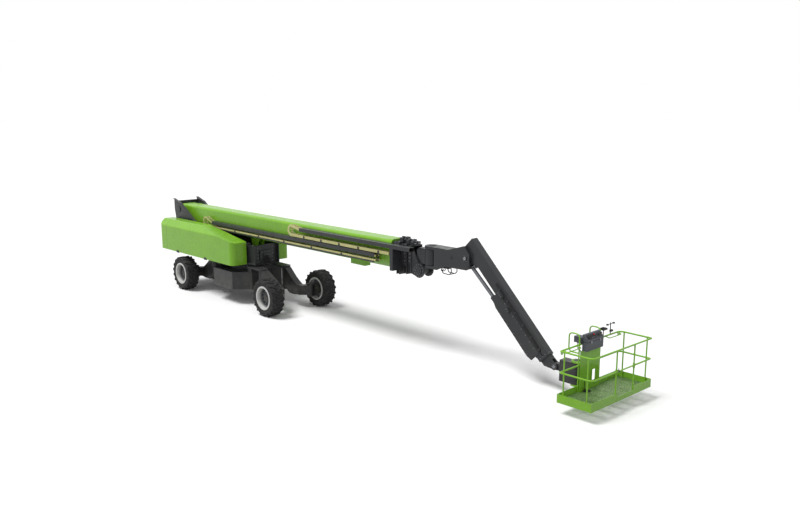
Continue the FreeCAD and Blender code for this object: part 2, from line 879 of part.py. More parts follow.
def hood_solid(inset):
    """Left hood filled solid, its outer faces moved in by the inset."""
    plan = [(hood_rear + inset, hood_inner - inset), (hood_front - inset, hood_inner - inset),
            (hood_front - inset, hood_outer - inset), (hood_rear + inset, hood_outer - inset)]
    side = [(hood_rear + inset, hood_bottom - inset), (hood_front - inset, hood_bottom - inset),
            (hood_front - inset, hood_nose_z - inset), (hood_slope_x, hood_top - inset),
            (hood_rear + inset, hood_top - inset)]
    end = [(hood_inner - inset, hood_bottom - inset), (hood_outer - inset, hood_bottom - inset),
           (hood_outer - inset, hood_side_top - inset / 2), (hood_flat_y, hood_top - inset),
           (hood_inner - inset, hood_top - inset)]
    corner = hood_corner - inset
    end_edge = hood_end_edge - inset
    side_edge = hood_side_edge - inset
    solid = prism("xy", plan, hood_bottom - corner, hood_top + corner, [0, 0, corner, corner])
    side_edges = [0, 0, end_edge, hood_slope_edge - inset, end_edge]
    solid = solid.common(prism("xz", side, hood_inner - corner, hood_outer + corner, side_edges))
    end_edges = [0, 0, side_edge, side_edge, 0]
    return solid.common(prism("yz", end, hood_rear - corner, hood_front + corner, end_edges))


def hood():
    """Left hood: a shell that is open below and towards the boom."""
    shell = hood_solid(0).cut(hood_solid(hood_wall))
    y, z = hood_hinge_y, hood_hinge_z
    half = hood_barrel_half
    barrels = [rod((x - half, y, z), (x + half, y, z), hood_barrel_radius) for x in hood_hinge_xs]
    shell = join([shell] + barrels)
    hole = hood_pin_radius + pin_clearance
    return shell.cut(rod((hood_rear, y, z), (hood_slope_x, y, z), hole))


# Boom


def boom_prism(inset, x0, x1):
    """Solid bar with the boom's section: flat top, straight sides and a round bottom."""
    half = boom_half - inset
    top = boom_top - inset
    corner = max(boom_corner - inset, boom_wall)
    spring = boom_spring_z
    slant = corner * (1 - math.sqrt(0.5))
    left_low, left_high = vec(x0, half, spring), vec(x0, half, top - corner)
    right_low, right_high = vec(x0, -half, spring), vec(x0, -half, top - corner)
    left_top, right_top = vec(x0, half - corner, top), vec(x0, corner - half, top)
    edges = [
        Part.makeLine(left_low, left_high),
        Part.Arc(left_high, vec(x0, half - slant, top - slant), left_top).toShape(),
        Part.makeLine(left_top, right_top),
        Part.Arc(right_top, vec(x0, slant - half, top - slant), right_high).toShape(),
        Part.makeLine(right_high, right_low),
        Part.Arc(right_low, vec(x0, 0, spring - half), left_low).toShape(),
    ]
    return Part.Face(Part.Wire(edges)).extrude(vec(x1 - x0, 0, 0))


def boom_tube(inset, thickness, x0, x1):
    return boom_prism(inset, x0, x1).cut(boom_prism(inset + thickness, x0 - 1, x1 + 1))


def mouth_liner(stage):
    """Sliding pads inside the mouth of a section, round the next one."""
    front = (boom_front,) + section_fronts
    inset = stage * boom_step + boom_wall
    return boom_tube(inset, boom_gap - slide_clearance, front[stage] - liner_length, front[stage] - boom_wall)


def tail_liner(stage):
    """Sliding pads outside the tail of a section, inside the one that holds it."""
    tail = section_tails[stage - 1]
    inset = stage * boom_step - boom_gap + slide_clearance
    return boom_tube(inset, boom_gap - slide_clearance, tail, tail + liner_length)


def top_block(stage):
    """Housing on top of a section's collar."""
    front = section_fronts[stage - 1]
    top = boom_top - stage * boom_step
    return box(front - collar_length, front, -block_half_width, block_half_width, top - boom_wall,
               top + block_rise[stage - 1])


def collar(stage):
    """Collar round the mouth of a moving section: a tube between two square plates."""
    front = section_fronts[stage - 1]
    rear = front - collar_length
    inset = stage * boom_step
    half = boom_half - inset + collar_rise
    low = boom_bottom + inset - collar_foot
    high = boom_top - inset + collar_rise
    pieces = [boom_tube(inset - collar_rise, collar_rise + boom_wall, rear, front)]
    for x in (rear, front - collar_plate):
        plate = box(x, x + collar_plate, -half, half, low, high)
        pieces.append(plate.cut(boom_prism(inset + boom_wall, rear - 1, front + 1)))
    return pieces


def lift_ears():
    """Two ears under the boom, with the stubs that the lift cylinder's rod turns on."""
    inner = lift_eye_width / 2 + free_gap
    outer = inner + lift_lug_plate
    root = boom_bottom + lift_ear_root
    low = lift_eye_z - lift_ear_drop
    points = [(lift_eye_x - lift_ear_foot, root), (lift_eye_x - lift_ear_half, low),
              (lift_eye_x, lift_eye_z - lift_ear_tip), (lift_eye_x + lift_ear_half, low),
              (lift_eye_x + lift_ear_foot, root)]
    rounding = lift_lug_plate
    ear = prism("xz", points, inner, outer, [0, rounding, rounding, rounding, 0])
    pin = rod((lift_eye_x, inner, lift_eye_z), (lift_eye_x, outer + pin_head, lift_eye_z), lift_pin_radius)
    return both_sides(ear) + both_sides(pin)


def boom_base():
    body = boom_prism(0, boom_tail, boom_front)
    ring = boom_prism(-collar_rise, boom_front - collar_length, boom_front)
    rest = box(rest_x, rest_x + rest_length, -rest_half_width, rest_half_width,
               boom_bottom - rest_drop, boom_bottom + rest_half_width)
    body = join([body, ring, rest] + lift_ears())
    body = body.cut(boom_prism(boom_wall, boom_tail + boom_wall, boom_front + 1))
    boss = cross_rod(boom_pivot_x, boom_pivot_z, boom_boss_radius, cheek_inner - free_gap)
    body = join([body, boss, mouth_liner(0)])
    return body.cut(cross_rod(boom_pivot_x, boom_pivot_z, boom_pin_radius + pin_clearance, cheek_outer))


def boom_section(stage):
    """Moving section, with a collar at its mouth and pads at its tail."""
    tail = section_tails[stage - 1]
    front = section_fronts[stage - 1]
    inset = stage * boom_step
    pieces = [boom_tube(inset, boom_wall, tail, front), tail_liner(stage)] + collar(stage)
    pieces.append(top_block(stage).cut(boom_prism(inset + boom_wall, tail, front + 1)))
    return pieces


def boom_mid_1():
    return join(boom_section(1) + [mouth_liner(1)])


def boom_mid_2():
    return join(boom_section(2) + [mouth_liner(2)])


def boom_fly():
    """Innermost section, with the nose plates that carry the head's pivot."""
    front = section_fronts[2]
    rear = section_fronts[1] + free_gap
    high = boom_top - nose_top_drop
    low = boom_bottom + 3 * boom_step - collar_foot
    points = [
        (rear, high), (front + nose_overhang, high), (head_pivot_x, head_pivot_z + nose_end_radius),
        (head_pivot_x, head_pivot_z - nose_end_radius), (front, low), (rear, low),
    ]
    plates = both_sides(prism("xz", points, fly_half - nose_plate, fly_half))
    plates += both_sides(rod((head_pivot_x, fly_half - nose_plate, head_pivot_z),
                             (head_pivot_x, fly_half, head_pivot_z), nose_end_radius))
    bosses = both_sides(rod((head_pivot_x, fly_half - nose_plate, head_pivot_z),
                            (head_pivot_x, fly_half + nose_boss_rise, head_pivot_z), nose_boss_radius))
    pin = cross_rod(head_pivot_x, head_pivot_z, head_pin_radius, fly_half)
    return join(boom_section(3) + plates + bosses + [pin])


# Hose carriers


def chain_loop(loop_x, front, high_front, low_z, loop_top, channel, height):
    """Flat chain that runs back along the boom, turns over and comes down into its channel."""
    y0, y1 = chain_y, chain_y + chain_width
    bend = (loop_top - low_z) / 2
    centre = loop_x + bend
    lies = centre + chain_ramp
    high_z = channel[0] + carrier_plate
    turn = rod((centre, y0, low_z + bend), (centre, y1, low_z + bend), bend)
    turn = turn.cut(rod((centre, y0 - 1, low_z + bend), (centre, y1 + 1, low_z + bend), bend - height))
    turn = turn.cut(box(centre, centre + bend + 1, y0 - 1, y1 + 1, low_z - 1, loop_top + 1))
    ramp = [(centre, loop_top - height), (centre, loop_top), (lies, high_z + height), (lies, high_z)]
    return join([
        box(centre, front, y0, y1, low_z, low_z + height),
        box(lies, high_front, y0, y1, high_z, high_z + height),
        prism("xz", ramp, y0, y1),
        turn,
    ])


def channel_start(loop_x, low_z, loop_top):
    return loop_x + (loop_top - low_z) / 2 + chain_ramp


def tube_channel(x0, x1, channel):
    """Square channel that the upper run of a chain lies in."""
    low, high = channel
    tube = box(x0, x1, -carrier_outer, -carrier_inner, low, high)
    return tube.cut(box(x0 - 1, x1 + 1, carrier_plate - carrier_outer, -carrier_inner - carrier_plate,
                        low + carrier_plate, high - carrier_plate))


def hooks(first_x, pitch, count, floor_z, height):
    """Brackets on the boom's side, open at the top, that a chain's lower run passes through."""
    shapes = []
    for i in range(count):
        x0 = first_x + i * pitch
        x1 = x0 + hook_length
        hook = box(x0, x1, -carrier_outer, -carrier_inner, floor_z - carrier_plate, floor_z + height)
        hook = hook.cut(box(x0 - 1, x1 + 1, carrier_plate - carrier_outer, -carrier_inner - carrier_plate,
                            floor_z, floor_z + height + 1))
        arm = box(x0, x1, -carrier_inner, 0, floor_z - carrier_plate, floor_z + height / 2)
        shapes.append(join([hook, arm]).cut(boom_prism(0, boom_tail, boom_front)))
    return shapes


def chain_lower():
    return chain_loop(lower_loop_x, lower_front, lower_front, lower_run_z, lower_loop_top, lower_channel,
                      lower_chain_height)


def chain_upper():
    return chain_loop(upper_loop_x, upper_front, bracket_rear - free_gap, upper_run_z, upper_loop_top,
                      upper_channel, upper_chain_height)


def carrier_lower():
    """Channel, shelf and hooks of the lower chain, with the arms that hold them to the boom's side."""
    x0 = channel_start(lower_loop_x, lower_run_z, lower_loop_top)
    pieces = [tube_channel(x0, lower_front, lower_channel)]
    low = lower_run_z - shelf_height
    pieces.append(box(x0, lower_front, -carrier_outer, -carrier_inner,
                      lower_run_z - carrier_plate, lower_run_z))
    pieces.append(box(x0, lower_front, -carrier_outer, carrier_plate - carrier_outer, low, lower_run_z))
    pieces += hooks(lower_hook_x, lower_hook_pitch, lower_hook_count, lower_run_z, lower_chain_height)
    arms = []
    for i in range(arm_count):
        x = x0 + i * (lower_front - hook_length - x0) / (arm_count - 1)
        x1 = x + hook_length
        arms.append(box(x, x1, -carrier_inner, -boom_half, lower_channel[0], lower_channel[1]))
        arms.append(box(x, x1, -carrier_inner - carrier_plate, -carrier_inner, low, lower_channel[0]))
    return join(pieces + arms)


def chain_hooks():
    """Hooks on the boom's side that guide the upper chain's lower run."""
    return Part.makeCompound(hooks(upper_hook_x, upper_hook_pitch, upper_hook_count, upper_run_z - free_gap,
                                   upper_chain_height))


def carrier_upper():
    """Channel that the first moving section takes along on a bracket at its mouth."""
    side = boom_half - boom_step + collar_rise
    x0 = bracket_rear
    x1 = bracket_rear + bracket_length
    return join([
        tube_channel(channel_start(upper_loop_x, upper_run_z, upper_loop_top), channel_front, upper_channel),
        box(x0, x1, -carrier_outer, -carrier_inner, bracket_bottom, upper_channel[1]),
        box(x0, x1, -carrier_inner, -side, bracket_bottom, upper_channel[1]),
    ])


# Head and jib


def head_bracket():
    """Levelling bracket on the boom's nose, with the upright drum that the jib swings on."""
    heel = swing_x - drum_radius - head_heel_gap
    points = [
        (head_pivot_x - head_neck, head_pivot_z), (head_pivot_x - head_neck, drum_top - head_shoulder),
        (head_pivot_x - head_neck_top, drum_top), (swing_x, drum_top), (swing_x, drum_bottom),
        (heel, drum_bottom), (heel, head_pivot_z), (head_pivot_x, head_pivot_z - head_boss_radius),
    ]
    web = prism("xz", points, -head_half_width, head_half_width)
    boss = cross_rod(head_pivot_x, head_pivot_z, head_boss_radius, head_half_width)
    drum = upright(swing_x, 0, drum_radius, drum_bottom, drum_top)
    body = join([web, boss, drum])
    body = body.cut(cross_rod(head_pivot_x, head_pivot_z, head_pin_radius + pin_clearance, boom_half))
    return body.cut(upright(swing_x, 0, swing_pin_radius + pin_clearance, drum_bottom - 1, drum_top + 1))


def jib_base():
    """Box that swings round the drum and carries the jib's pivot between two ears."""
    high = drum_top + yoke_gap_high
    low = drum_bottom - yoke_gap_low
    rear = swing_x + drum_radius + yoke_reach
    front = jib_box_end - jib_ear_plate
    roof = high + yoke_plate
    plates = []
    for z0, end in ((low - yoke_plate, rear + jib_ear_plate), (high, jib_box_end)):
        plates.append(upright(swing_x, 0, drum_radius, z0, z0 + yoke_plate))
        plates.append(box(swing_x, end, -jib_ear_outer, jib_ear_outer, z0, z0 + yoke_plate))
    plates.append(upright(swing_x, 0, swing_pin_radius, low - yoke_plate, roof))
    plates.append(box(rear, rear + jib_ear_plate, -jib_ear_outer, jib_ear_outer, low - 1, high + 1))
    plates.append(box(front, jib_box_end, -jib_ear_outer, jib_ear_outer, jib_box_low, high + 1))
    plates.append(box(rear, jib_box_end, -jib_ear_outer, jib_ear_outer,
                      jib_box_low, jib_box_low + jib_ear_plate))
    inner = jib_ear_outer - jib_ear_plate
    margin = jib_eye_margin
    points = [
        (rear, low - yoke_plate), (rear, roof), (jib_box_end, roof), jib_ear_crown,
        (jib_ear_front, jib_pivot_z + 2 * jib_pin_radius), (jib_ram_eye_x + margin, jib_ram_eye_z),
        (jib_ram_eye_x, jib_ram_eye_z - margin), (jib_box_end, jib_box_low),
        (rear + 2 * drum_radius, jib_box_low), (rear + drum_radius / 2, low - yoke_plate),
    ]
    plates += both_sides(prism("xz", points, inner, jib_ear_outer, jib_ear_rounding))
    plates.append(cross_rod(jib_pivot_x, jib_pivot_z, jib_pin_radius, jib_ear_outer + pin_head))
    stub = rod((jib_ram_eye_x, jib_eye_width / 2 + free_gap, jib_ram_eye_z),
               (jib_ram_eye_x, jib_ear_outer + pin_head / 2, jib_ram_eye_z), jib_eye_radius)
    return join(plates + both_sides(stub))


def on_jib(shape):
    """Carries a piece drawn along a level jib to its slope at rest."""
    shape.rotate(ORIGIN, Y_AXIS, jib_slope)
    shape.translate(vec(jib_pivot_x, 0, jib_pivot_z))
    return shape


def jib_side(inset):
    heel = jib_boss_radius - inset / 2
    return [
        (inset - jib_rear, jib_arm_top - inset), (jib_arm_end, jib_arm_top - inset),
        (jib_arm_end, jib_arm_bottom + inset), (jib_throat, jib_arm_bottom + inset),
        (heel, inset - jib_heel), (-heel, inset - jib_heel), (inset - jib_rear, jib_rear_low + inset / 2),
    ]


def jib_guards():
    """Plates on both sides of the arm that cover its lift cylinder."""
    start, end = jib_guard_start, jib_guard_end
    low, high = jib_guard_bottom, jib_guard_top
    slope, foot, step = jib_guard_slope, jib_guard_foot, jib_guard_step
    points = [(start + slope, high), (start, high - jib_guard_cut), (start + foot, low + step),
              (start + slope + foot, low), (end - slope, low), (end, low + step), (end, high)]
    return both_sides(prism("xz", points, jib_arm_half_width, jib_arm_half_width + jib_guard_plate))


def jib_outer():
    """Outer arm of the jib, its pivot boss and the ears of its lift cylinder."""
    body = prism("xz", jib_side(0), -jib_arm_half_width, jib_arm_half_width)
    inner = jib_arm_half_width - jib_arm_wall
    body = body.cut(prism("xz", jib_side(jib_arm_wall), -inner, inner))
    inner_low, inner_high = jib_arm_bottom + jib_arm_wall, jib_arm_top - jib_arm_wall
    pad = jib_tube_gap - slide_clearance
    mouth = box(jib_arm_end - jib_pad_length, jib_arm_end, -inner, inner, inner_low, inner_high)
    mouth = mouth.cut(box(jib_arm_end - jib_pad_length - 1, jib_arm_end + 1, pad - inner, inner - pad,
                          inner_low + pad, inner_high - pad))
    boss = cross_rod(0, 0, jib_boss_radius, jib_ear_outer - jib_ear_plate - free_gap)
    along, above = jib_ram_base
    lug_inner = jib_eye_width / 2 + free_gap
    root = jib_arm_bottom + 1
    low = above - jib_lug_drop
    points = [(along - jib_lug_foot, root), (along - jib_lug_half, low), (along + jib_lug_half, low),
              (along + jib_lug_foot, root)]
    lug = prism("xz", points, lug_inner, lug_inner + jib_lug_plate, [0, jib_lug_drop, jib_lug_drop, 0])
    pin = cross_rod(along, above, jib_ram_pin_radius, lug_inner + jib_lug_plate + pin_head / 2)
    body = join([body, mouth, boss, pin] + both_sides(lug) + jib_guards())
    return on_jib(body.cut(cross_rod(0, 0, jib_pin_radius + pin_clearance, jib_ear_outer)))


def jib_inner():
    """Inner arm of the jib, ending in a fork for the platform support."""
    half = jib_tube_half_width
    tube = box(jib_tube_start, jib_tube_end, -half, half, jib_tube_low, jib_tube_high)
    wall = jib_tube_wall
    tube = tube.cut(box(jib_tube_start - 1, jib_tube_end - wall, wall - half, half - wall,
                        jib_tube_low + wall, jib_tube_high - wall))
    pad = jib_tube_gap - slide_clearance
    x0, x1 = jib_tube_start, jib_tube_start + jib_pad_length
    tail = box(x0, x1, -half - pad, half + pad, jib_tube_low - pad, jib_tube_high + pad)
    tail = tail.cut(box(x0 - 1, x1 + 1, -half, half, jib_tube_low, jib_tube_high))
    along, above = level_pivot
    rear, tip = jib_tube_end - fork_length, along + fork_tip
    points = [(rear, jib_tube_low), (rear, jib_tube_high), (jib_tube_end, jib_tube_high),
              (tip, above + fork_half_height), (tip, above - fork_half_height), (jib_tube_end, jib_tube_low)]
    plate = prism("xz", points, half - fork_plate, half)
    boss = rod((along, half - fork_plate, above), (along, half + pin_head, above), level_boss_radius)
    pin = cross_rod(along, above, level_pin_radius, half + pin_head)
    return on_jib(join([tube, tail, pin] + both_sides(plate) + both_sides(boss)))


def jib_ram():
    """Barrel and rod of the jib's lift cylinder, from the arm's far end up to the jib base."""
    slope = math.radians(jib_slope)
    along, above = jib_ram_base
    base_x = jib_pivot_x + along * math.cos(slope) + above * math.sin(slope)
    base_z = jib_pivot_z - along * math.sin(slope) + above * math.cos(slope)
    sizes = (jib_barrel_length, jib_barrel_radius, jib_rod_radius, jib_eye_radius, jib_eye_width,
             jib_ram_pin_radius, jib_back_travel)
    return ram((base_x, base_z), (jib_ram_eye_x, jib_ram_eye_z), sizes)


def lift_ram():
    sizes = (lift_barrel_length, lift_barrel_radius, lift_rod_radius, lift_eye_radius, lift_eye_width,
             lift_pin_radius, 0)
    return ram((lift_base_x, lift_base_z), (lift_eye_x, lift_eye_z), sizes)


# Platform


def level_axis():
    """Place of the platform's levelling pivot at rest."""
    slope = math.radians(jib_slope)
    along, above = level_pivot
    x = jib_pivot_x + along * math.cos(slope) + above * math.sin(slope)
    return x, jib_pivot_z - along * math.sin(slope) + above * math.cos(slope)


def platform_support():
    """Block between the jib's fork and the platform, with its rotator drum."""
    x, z = level_axis()
    lug_half = jib_tube_half_width - fork_plate - free_gap
    lug = join([
        cross_rod(x, z, level_boss_radius, lug_half),
        box(x, support_rear + 1, -lug_half, lug_half, z - level_boss_radius, z + level_boss_radius),
    ])
    block = box(support_rear, turn_x, -support_half_width, support_half_width, support_bottom, support_top)
    drum = upright(turn_x, 0, turn_radius, support_bottom, support_top)
    body = join([lug, block, drum])
    body = body.cut(cross_rod(x, z, level_pin_radius + pin_clearance, support_half_width))
    return body.cut(upright(turn_x, 0, turn_pin_radius + pin_clearance, support_bottom - 1, support_top + 1))


def toe_boards():
    x0, x1 = platform_back, platform_front
    z0, z1 = platform_bottom, platform_bottom + toe_board_height
    ring = box(x0, x1, -platform_half, platform_half, z0, z1)
    ring = ring.cut(box(x0 + toe_board_plate, x1 - toe_board_plate, toe_board_plate - platform_half,
                        platform_half - toe_board_plate, z0 - 1, z1 + 1))
    gateway = box(x1 - toe_board_plate - 1, x1 + 1, gate_right + rail_radius, gate_left - rail_radius,
                  z1 - gate_drop, z1 + 1)
    return ring.cut(gateway)


def platform_frame():
    """Toe boards, floor beams and the bracket that turns about the rotator."""
    x0, x1 = platform_back, platform_front
    pieces = [toe_boards()]
    for i in range(floor_beam_count):
        y = (i + 1) * platform_width / (floor_beam_count + 1) - platform_half
        pieces.append(box(x0 + 1, x1 - 1, y - floor_beam / 2, y + floor_beam / 2,
                          platform_bottom, floor_z - floor_plate))
    high = support_top + free_gap
    low = support_bottom - free_gap
    web = platform_back - turn_web
    for z0 in (low - turn_plate, high):
        pieces.append(upright(turn_x, 0, turn_radius, z0, z0 + turn_plate))
        pieces.append(box(turn_x, x0 + 1, -turn_radius, turn_radius, z0, z0 + turn_plate))
    pieces.append(box(web, x0 + 1, -turn_radius, turn_radius, low - 1, high + 1))
    pieces.append(upright(turn_x, 0, turn_pin_radius, low - turn_plate, high + turn_plate))
    return join(pieces)


def platform_floor():
    edge = toe_board_plate
    return box(platform_back + edge, platform_front - edge, edge - platform_half, platform_half - edge,
               floor_z - floor_plate, floor_z)


def rail_ring(z):
    """Closed round-tube rail at one height, just inside the toe boards."""
    middle = (rail_back + rail_front) / 2
    front_right, back_right, back_left, front_left = rail_corners
    halves = []
    for x, bends in ((rail_front, (front_left, front_right)), (rail_back, (back_left, back_right))):
        corners = [(middle, rail_half, z), (x, rail_half, z), (x, -rail_half, z), (middle, -rail_half, z)]
        halves.append(bent_tube(corners, rail_radius, bends))
    return halves


def hand_loops():
    """Loops inside the back rail that keep hands off it, one at each side of the controls."""
    x = rail_back + loop_reach
    z = rail_z - loop_drop
    loops = []
    for side in (-1, 1):
        near, far = (side * end for end in loop_ends)
        points = [(rail_back, near, rail_z), (x, near, z), (x, far, z), (rail_back, far, rail_z)]
        loops.append(bent_tube(points, loop_radius, loop_bend))
    return loops


def console_hoops():
    """Hoops behind the controls, bent from the two posts beside the panel."""
    x0 = rail_back - hoop_reach
    hoops = []
    for y in (panel_middle - panel_half_width, panel_middle + panel_half_width):
        points = [(rail_back, y, floor_z), (rail_back, y, hoop_top), (x0, y, hoop_top),
                  (x0, y, hoop_foot), (rail_back, y, hoop_foot)]
        hoops.append(bent_tube(points, hoop_radius, hoop_round))
    return hoops


def platform_rails():
    """Top and middle rails, the posts that carry them and the hoops behind the controls."""
    gap = box(rail_front - 2 * rail_radius, rail_front + 2 * rail_radius, gate_right, gate_left,
              mid_rail_z - 2 * rail_radius, mid_rail_z + 2 * rail_radius)
    middle = join(rail_ring(mid_rail_z)).cut(gap)
    ends = (platform_back + post_inset, platform_front - post_inset)
    places = [(x, y) for x in ends for y in (-rail_half, rail_half)]
    places += [(rail_front, gate_right), (rail_front, gate_left)]
    posts = [upright(x, y, post_radius, floor_z, rail_z) for x, y in places]
    return join(rail_ring(rail_z) + [middle] + posts + hand_loops() + console_hoops() + anchors())


def anchors():
    """Lanyard anchor plates under the top rail, one near each end of the back rail."""
    x0, x1 = rail_back - anchor_plate / 2, rail_back + anchor_plate / 2
    z = rail_z - anchor_radius - anchor_drop
    plates = []
    for y in (-anchor_y, anchor_y):
        plate = box(x0, x1, y - anchor_radius, y + anchor_radius, z, rail_z)
        plate = plate.fuse(rod((x0, y, z), (x1, y, z), anchor_radius))
        plates.append(plate.cut(rod((x0 - 1, y, z), (x1 + 1, y, z), anchor_bore_radius)))
    return plates


def gate_bar():
    """Bar across the gateway that lifts on sleeves round the two gate posts."""
    x = rail_front
    bore = post_radius + pin_clearance
    outer = bore + gate_sleeve_wall
    z0 = mid_rail_z - gate_sleeve_height / 2
    pieces = [rod((x, gate_right, mid_rail_z), (x, gate_left, mid_rail_z), post_radius)]
    for y in (gate_right, gate_left):
        pieces.append(upright(x, y, outer, z0, z0 + gate_sleeve_height))
    bar = join(pieces)
    for y, side in ((gate_right, -1), (gate_left, 1)):
        bar = bar.cut(upright(x, y, bore, z0 - 1, z0 + gate_sleeve_height + 1))
        half = rail_radius + free_gap
        y0, y1 = sorted((y, y + side * 2 * outer))
        bar = bar.cut(box(x - half, x + half, y0, y1, z0 - 1, z0 + gate_sleeve_height + 1))
    return bar


def console_panel():
    """Upright sheet that carries the controls, with a slot near its foot."""
    x0, x1 = panel_x, panel_x + panel_plate
    half = panel_half_width - hoop_radius - seat_clearance
    sheet = box(x0, x1, panel_middle - half, panel_middle + half, floor_z, panel_top)
    return sheet.cut(box(x0 - 1, x1 + 1, slot_middle - slot_half_width, slot_middle + slot_half_width,
                         slot_bottom, slot_bottom + slot_height))


def console_box():
    """Housing of the controls, with a smaller box on its back."""
    x0, x1 = panel_x, panel_x + console_depth
    z0, z1 = panel_top, panel_top + console_height
    side = [(x0, z0), (x1, z0), (x1, z0 + console_shoulder), (x1 - console_slope, z1), (x0, z1)]
    housing = prism("xz", side, console_right, console_left,
                    [0, console_round, console_round, console_round, 0])
    length, width, height = junction_box
    foot = rail_top + free_gap
    return housing.fuse(box(x0 - length, x0, junction_right, junction_right + width, foot, foot + height))


def wind_sensor():
    """Stem on the top rail with a small box and, at its top, an arm with a cup at each end."""
    x, y = rail_back, sensor_y
    foot = rail_top + seat_clearance
    arm_z = sensor_top - sensor_cup
    pieces = [upright(x, y, sensor_stem, foot, sensor_top)]
    pieces.append(box(x - sensor_box / 2, x + sensor_box / 2, y - sensor_stem / 2, y + 2 * sensor_box,
                      foot + sensor_box, foot + 2 * sensor_box))
    pieces.append(rod((x, y - sensor_arm, arm_z), (x, y + sensor_arm, arm_z), sensor_rod))
    for side in (-1, 1):
        cup_y = y + side * sensor_arm
        pieces.append(upright(x, cup_y, sensor_cup, arm_z - sensor_cup / 2, arm_z + sensor_cup / 2))
    return join(pieces)


def platform_lamp():
    """Flat lamp on a stem."""
    length, width, height = lamp_size
    z = rail_top + lamp_height
    stem = upright(rail_back, lamp_y, lamp_stem, rail_top + seat_clearance, z)
    lamp = box(rail_back - length / 2, rail_back + length / 2, lamp_y - width / 2, lamp_y + width / 2,
               z, z + height)
    return stem.fuse(lamp)


def pieces():
    """Every piece by its node's name."""
    parts = {"chassis_frame": chassis_frame(), "slew_ring": slew_ring()}
    for name, make in (("leg", leg), ("knuckle", knuckle), ("rim", rim), ("tyre", tyre)):
        shape = make()
        for corner in CORNERS:
            parts[name + "_" + corner] = to_corner(shape.copy(), corner)
    parts["turret_frame"] = turret_frame()
    parts["turret_pedestal"] = turret_pedestal()
    parts["counterweight"] = counterweight()
    parts["engine_block"] = engine_block()
    parts["fluid_tank"] = tank()
    left_hood, right_hood = both_sides(hood())
    parts["hood_left"] = left_hood
    parts["hood_right"] = right_hood
    parts["lift_barrel"], parts["lift_rod"] = lift_ram()
    for make in (boom_base, carrier_lower, chain_lower, chain_hooks, boom_mid_1, carrier_upper, chain_upper,
                 boom_mid_2, boom_fly, head_bracket, jib_base, jib_outer, jib_inner):
        parts[make.__name__] = make()
    parts["jib_barrel"], parts["jib_rod"] = jib_ram()
    for make in (platform_support, platform_frame, platform_floor, platform_rails, gate_bar, console_panel,
                 console_box, wind_sensor, platform_lamp):
        parts[make.__name__] = make()
    return parts


def export(parts):
    os.makedirs("parts", exist_ok=True)
    for name, shape in parts.items():
        shape.translate(vec(slew_x, 0, 0))
        shape.exportStep(os.path.join("parts", name + ".step"))


export(pieces())
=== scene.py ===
# Telescopic boom lift: finishes, wheels, carrier chains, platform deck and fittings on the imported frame
import math

import bmesh
import bpy
from mathutils import Matrix, Vector


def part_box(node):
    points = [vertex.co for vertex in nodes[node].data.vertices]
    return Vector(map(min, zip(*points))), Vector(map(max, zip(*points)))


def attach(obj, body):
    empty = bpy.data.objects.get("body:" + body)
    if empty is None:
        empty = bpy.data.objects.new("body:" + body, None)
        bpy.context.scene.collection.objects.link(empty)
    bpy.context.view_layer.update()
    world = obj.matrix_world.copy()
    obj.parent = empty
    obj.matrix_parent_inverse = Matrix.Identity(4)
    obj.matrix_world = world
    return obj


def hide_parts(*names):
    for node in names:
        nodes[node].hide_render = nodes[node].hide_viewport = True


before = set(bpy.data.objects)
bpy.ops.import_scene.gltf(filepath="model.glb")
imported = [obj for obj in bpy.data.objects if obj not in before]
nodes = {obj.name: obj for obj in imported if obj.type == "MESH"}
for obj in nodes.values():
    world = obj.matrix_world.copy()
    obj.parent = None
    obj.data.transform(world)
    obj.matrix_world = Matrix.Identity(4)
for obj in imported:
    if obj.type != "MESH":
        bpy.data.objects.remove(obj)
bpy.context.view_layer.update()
corners = ("front_left", "front_right", "rear_left", "rear_right")
print("frame loaded:", len(nodes), "nodes")


def tone(red, green, blue):
    # 0-255 screen values to the linear values that shaders use
    def linear(value):
        value = value / 255
        return value / 12.92 if value <= 0.04045 else ((value + 0.055) / 1.055) ** 2.4
    return (linear(red), linear(green), linear(blue), 1.0)


def addObject(name, data):
    made = bpy.data.objects.new(name, data)
    bpy.context.scene.collection.objects.link(made)
    return made


def pieceFrom(name, shape):
    mesh = bpy.data.meshes.new(name)
    bmesh.ops.recalc_face_normals(shape, faces=shape.faces)
    shape.to_mesh(mesh)
    shape.free()
    return addObject(name, mesh)


def addBlock(shape, low, high, turn=None):
    # block between two corners, turned by a matrix if given
    low, high = Vector(low), Vector(high)
    made = bmesh.ops.create_cube(shape, size=1.0)["verts"]
    place = Matrix.Translation((low + high) / 2) @ Matrix.Diagonal((*(high - low), 1.0))
    bmesh.ops.transform(shape, matrix=(turn @ place) if turn else place, verts=made)


def addBar(shape, start, end, radius, sides=12, endRadius=None):
    # round bar between two points
    start, end = Vector(start), Vector(end)
    along = end - start
    turn = along.to_track_quat("Z", "Y").to_matrix().to_4x4()
    made = bmesh.ops.create_cone(shape, cap_ends=True, segments=sides, radius1=radius,
                                 radius2=radius if endRadius is None else endRadius, depth=along.length)
    bmesh.ops.transform(shape, matrix=Matrix.Translation((start + end) / 2) @ turn, verts=made["verts"])


def addTurned(shape, outline, sides):
    # closed ring: (height, radius) points turned about Z
    rings = []
    for i in range(sides):
        angle = 2 * math.pi * i / sides
        rings.append([shape.verts.new((radius * math.cos(angle), radius * math.sin(angle), height))
                      for height, radius in outline])
    for here, there in zip(rings, rings[1:] + rings[:1]):
        for j in range(len(outline)):
            k = (j + 1) % len(outline)
            shape.faces.new((here[j], here[k], there[k], there[j]))


def bridge(shape, rings):
    # faces between rings of points, and over both ends
    for here, there in zip(rings, rings[1:]):
        for i in range(len(here)):
            k = (i + 1) % len(here)
            shape.faces.new((here[i], here[k], there[k], there[i]))
    shape.faces.new(rings[0])
    shape.faces.new(rings[-1])


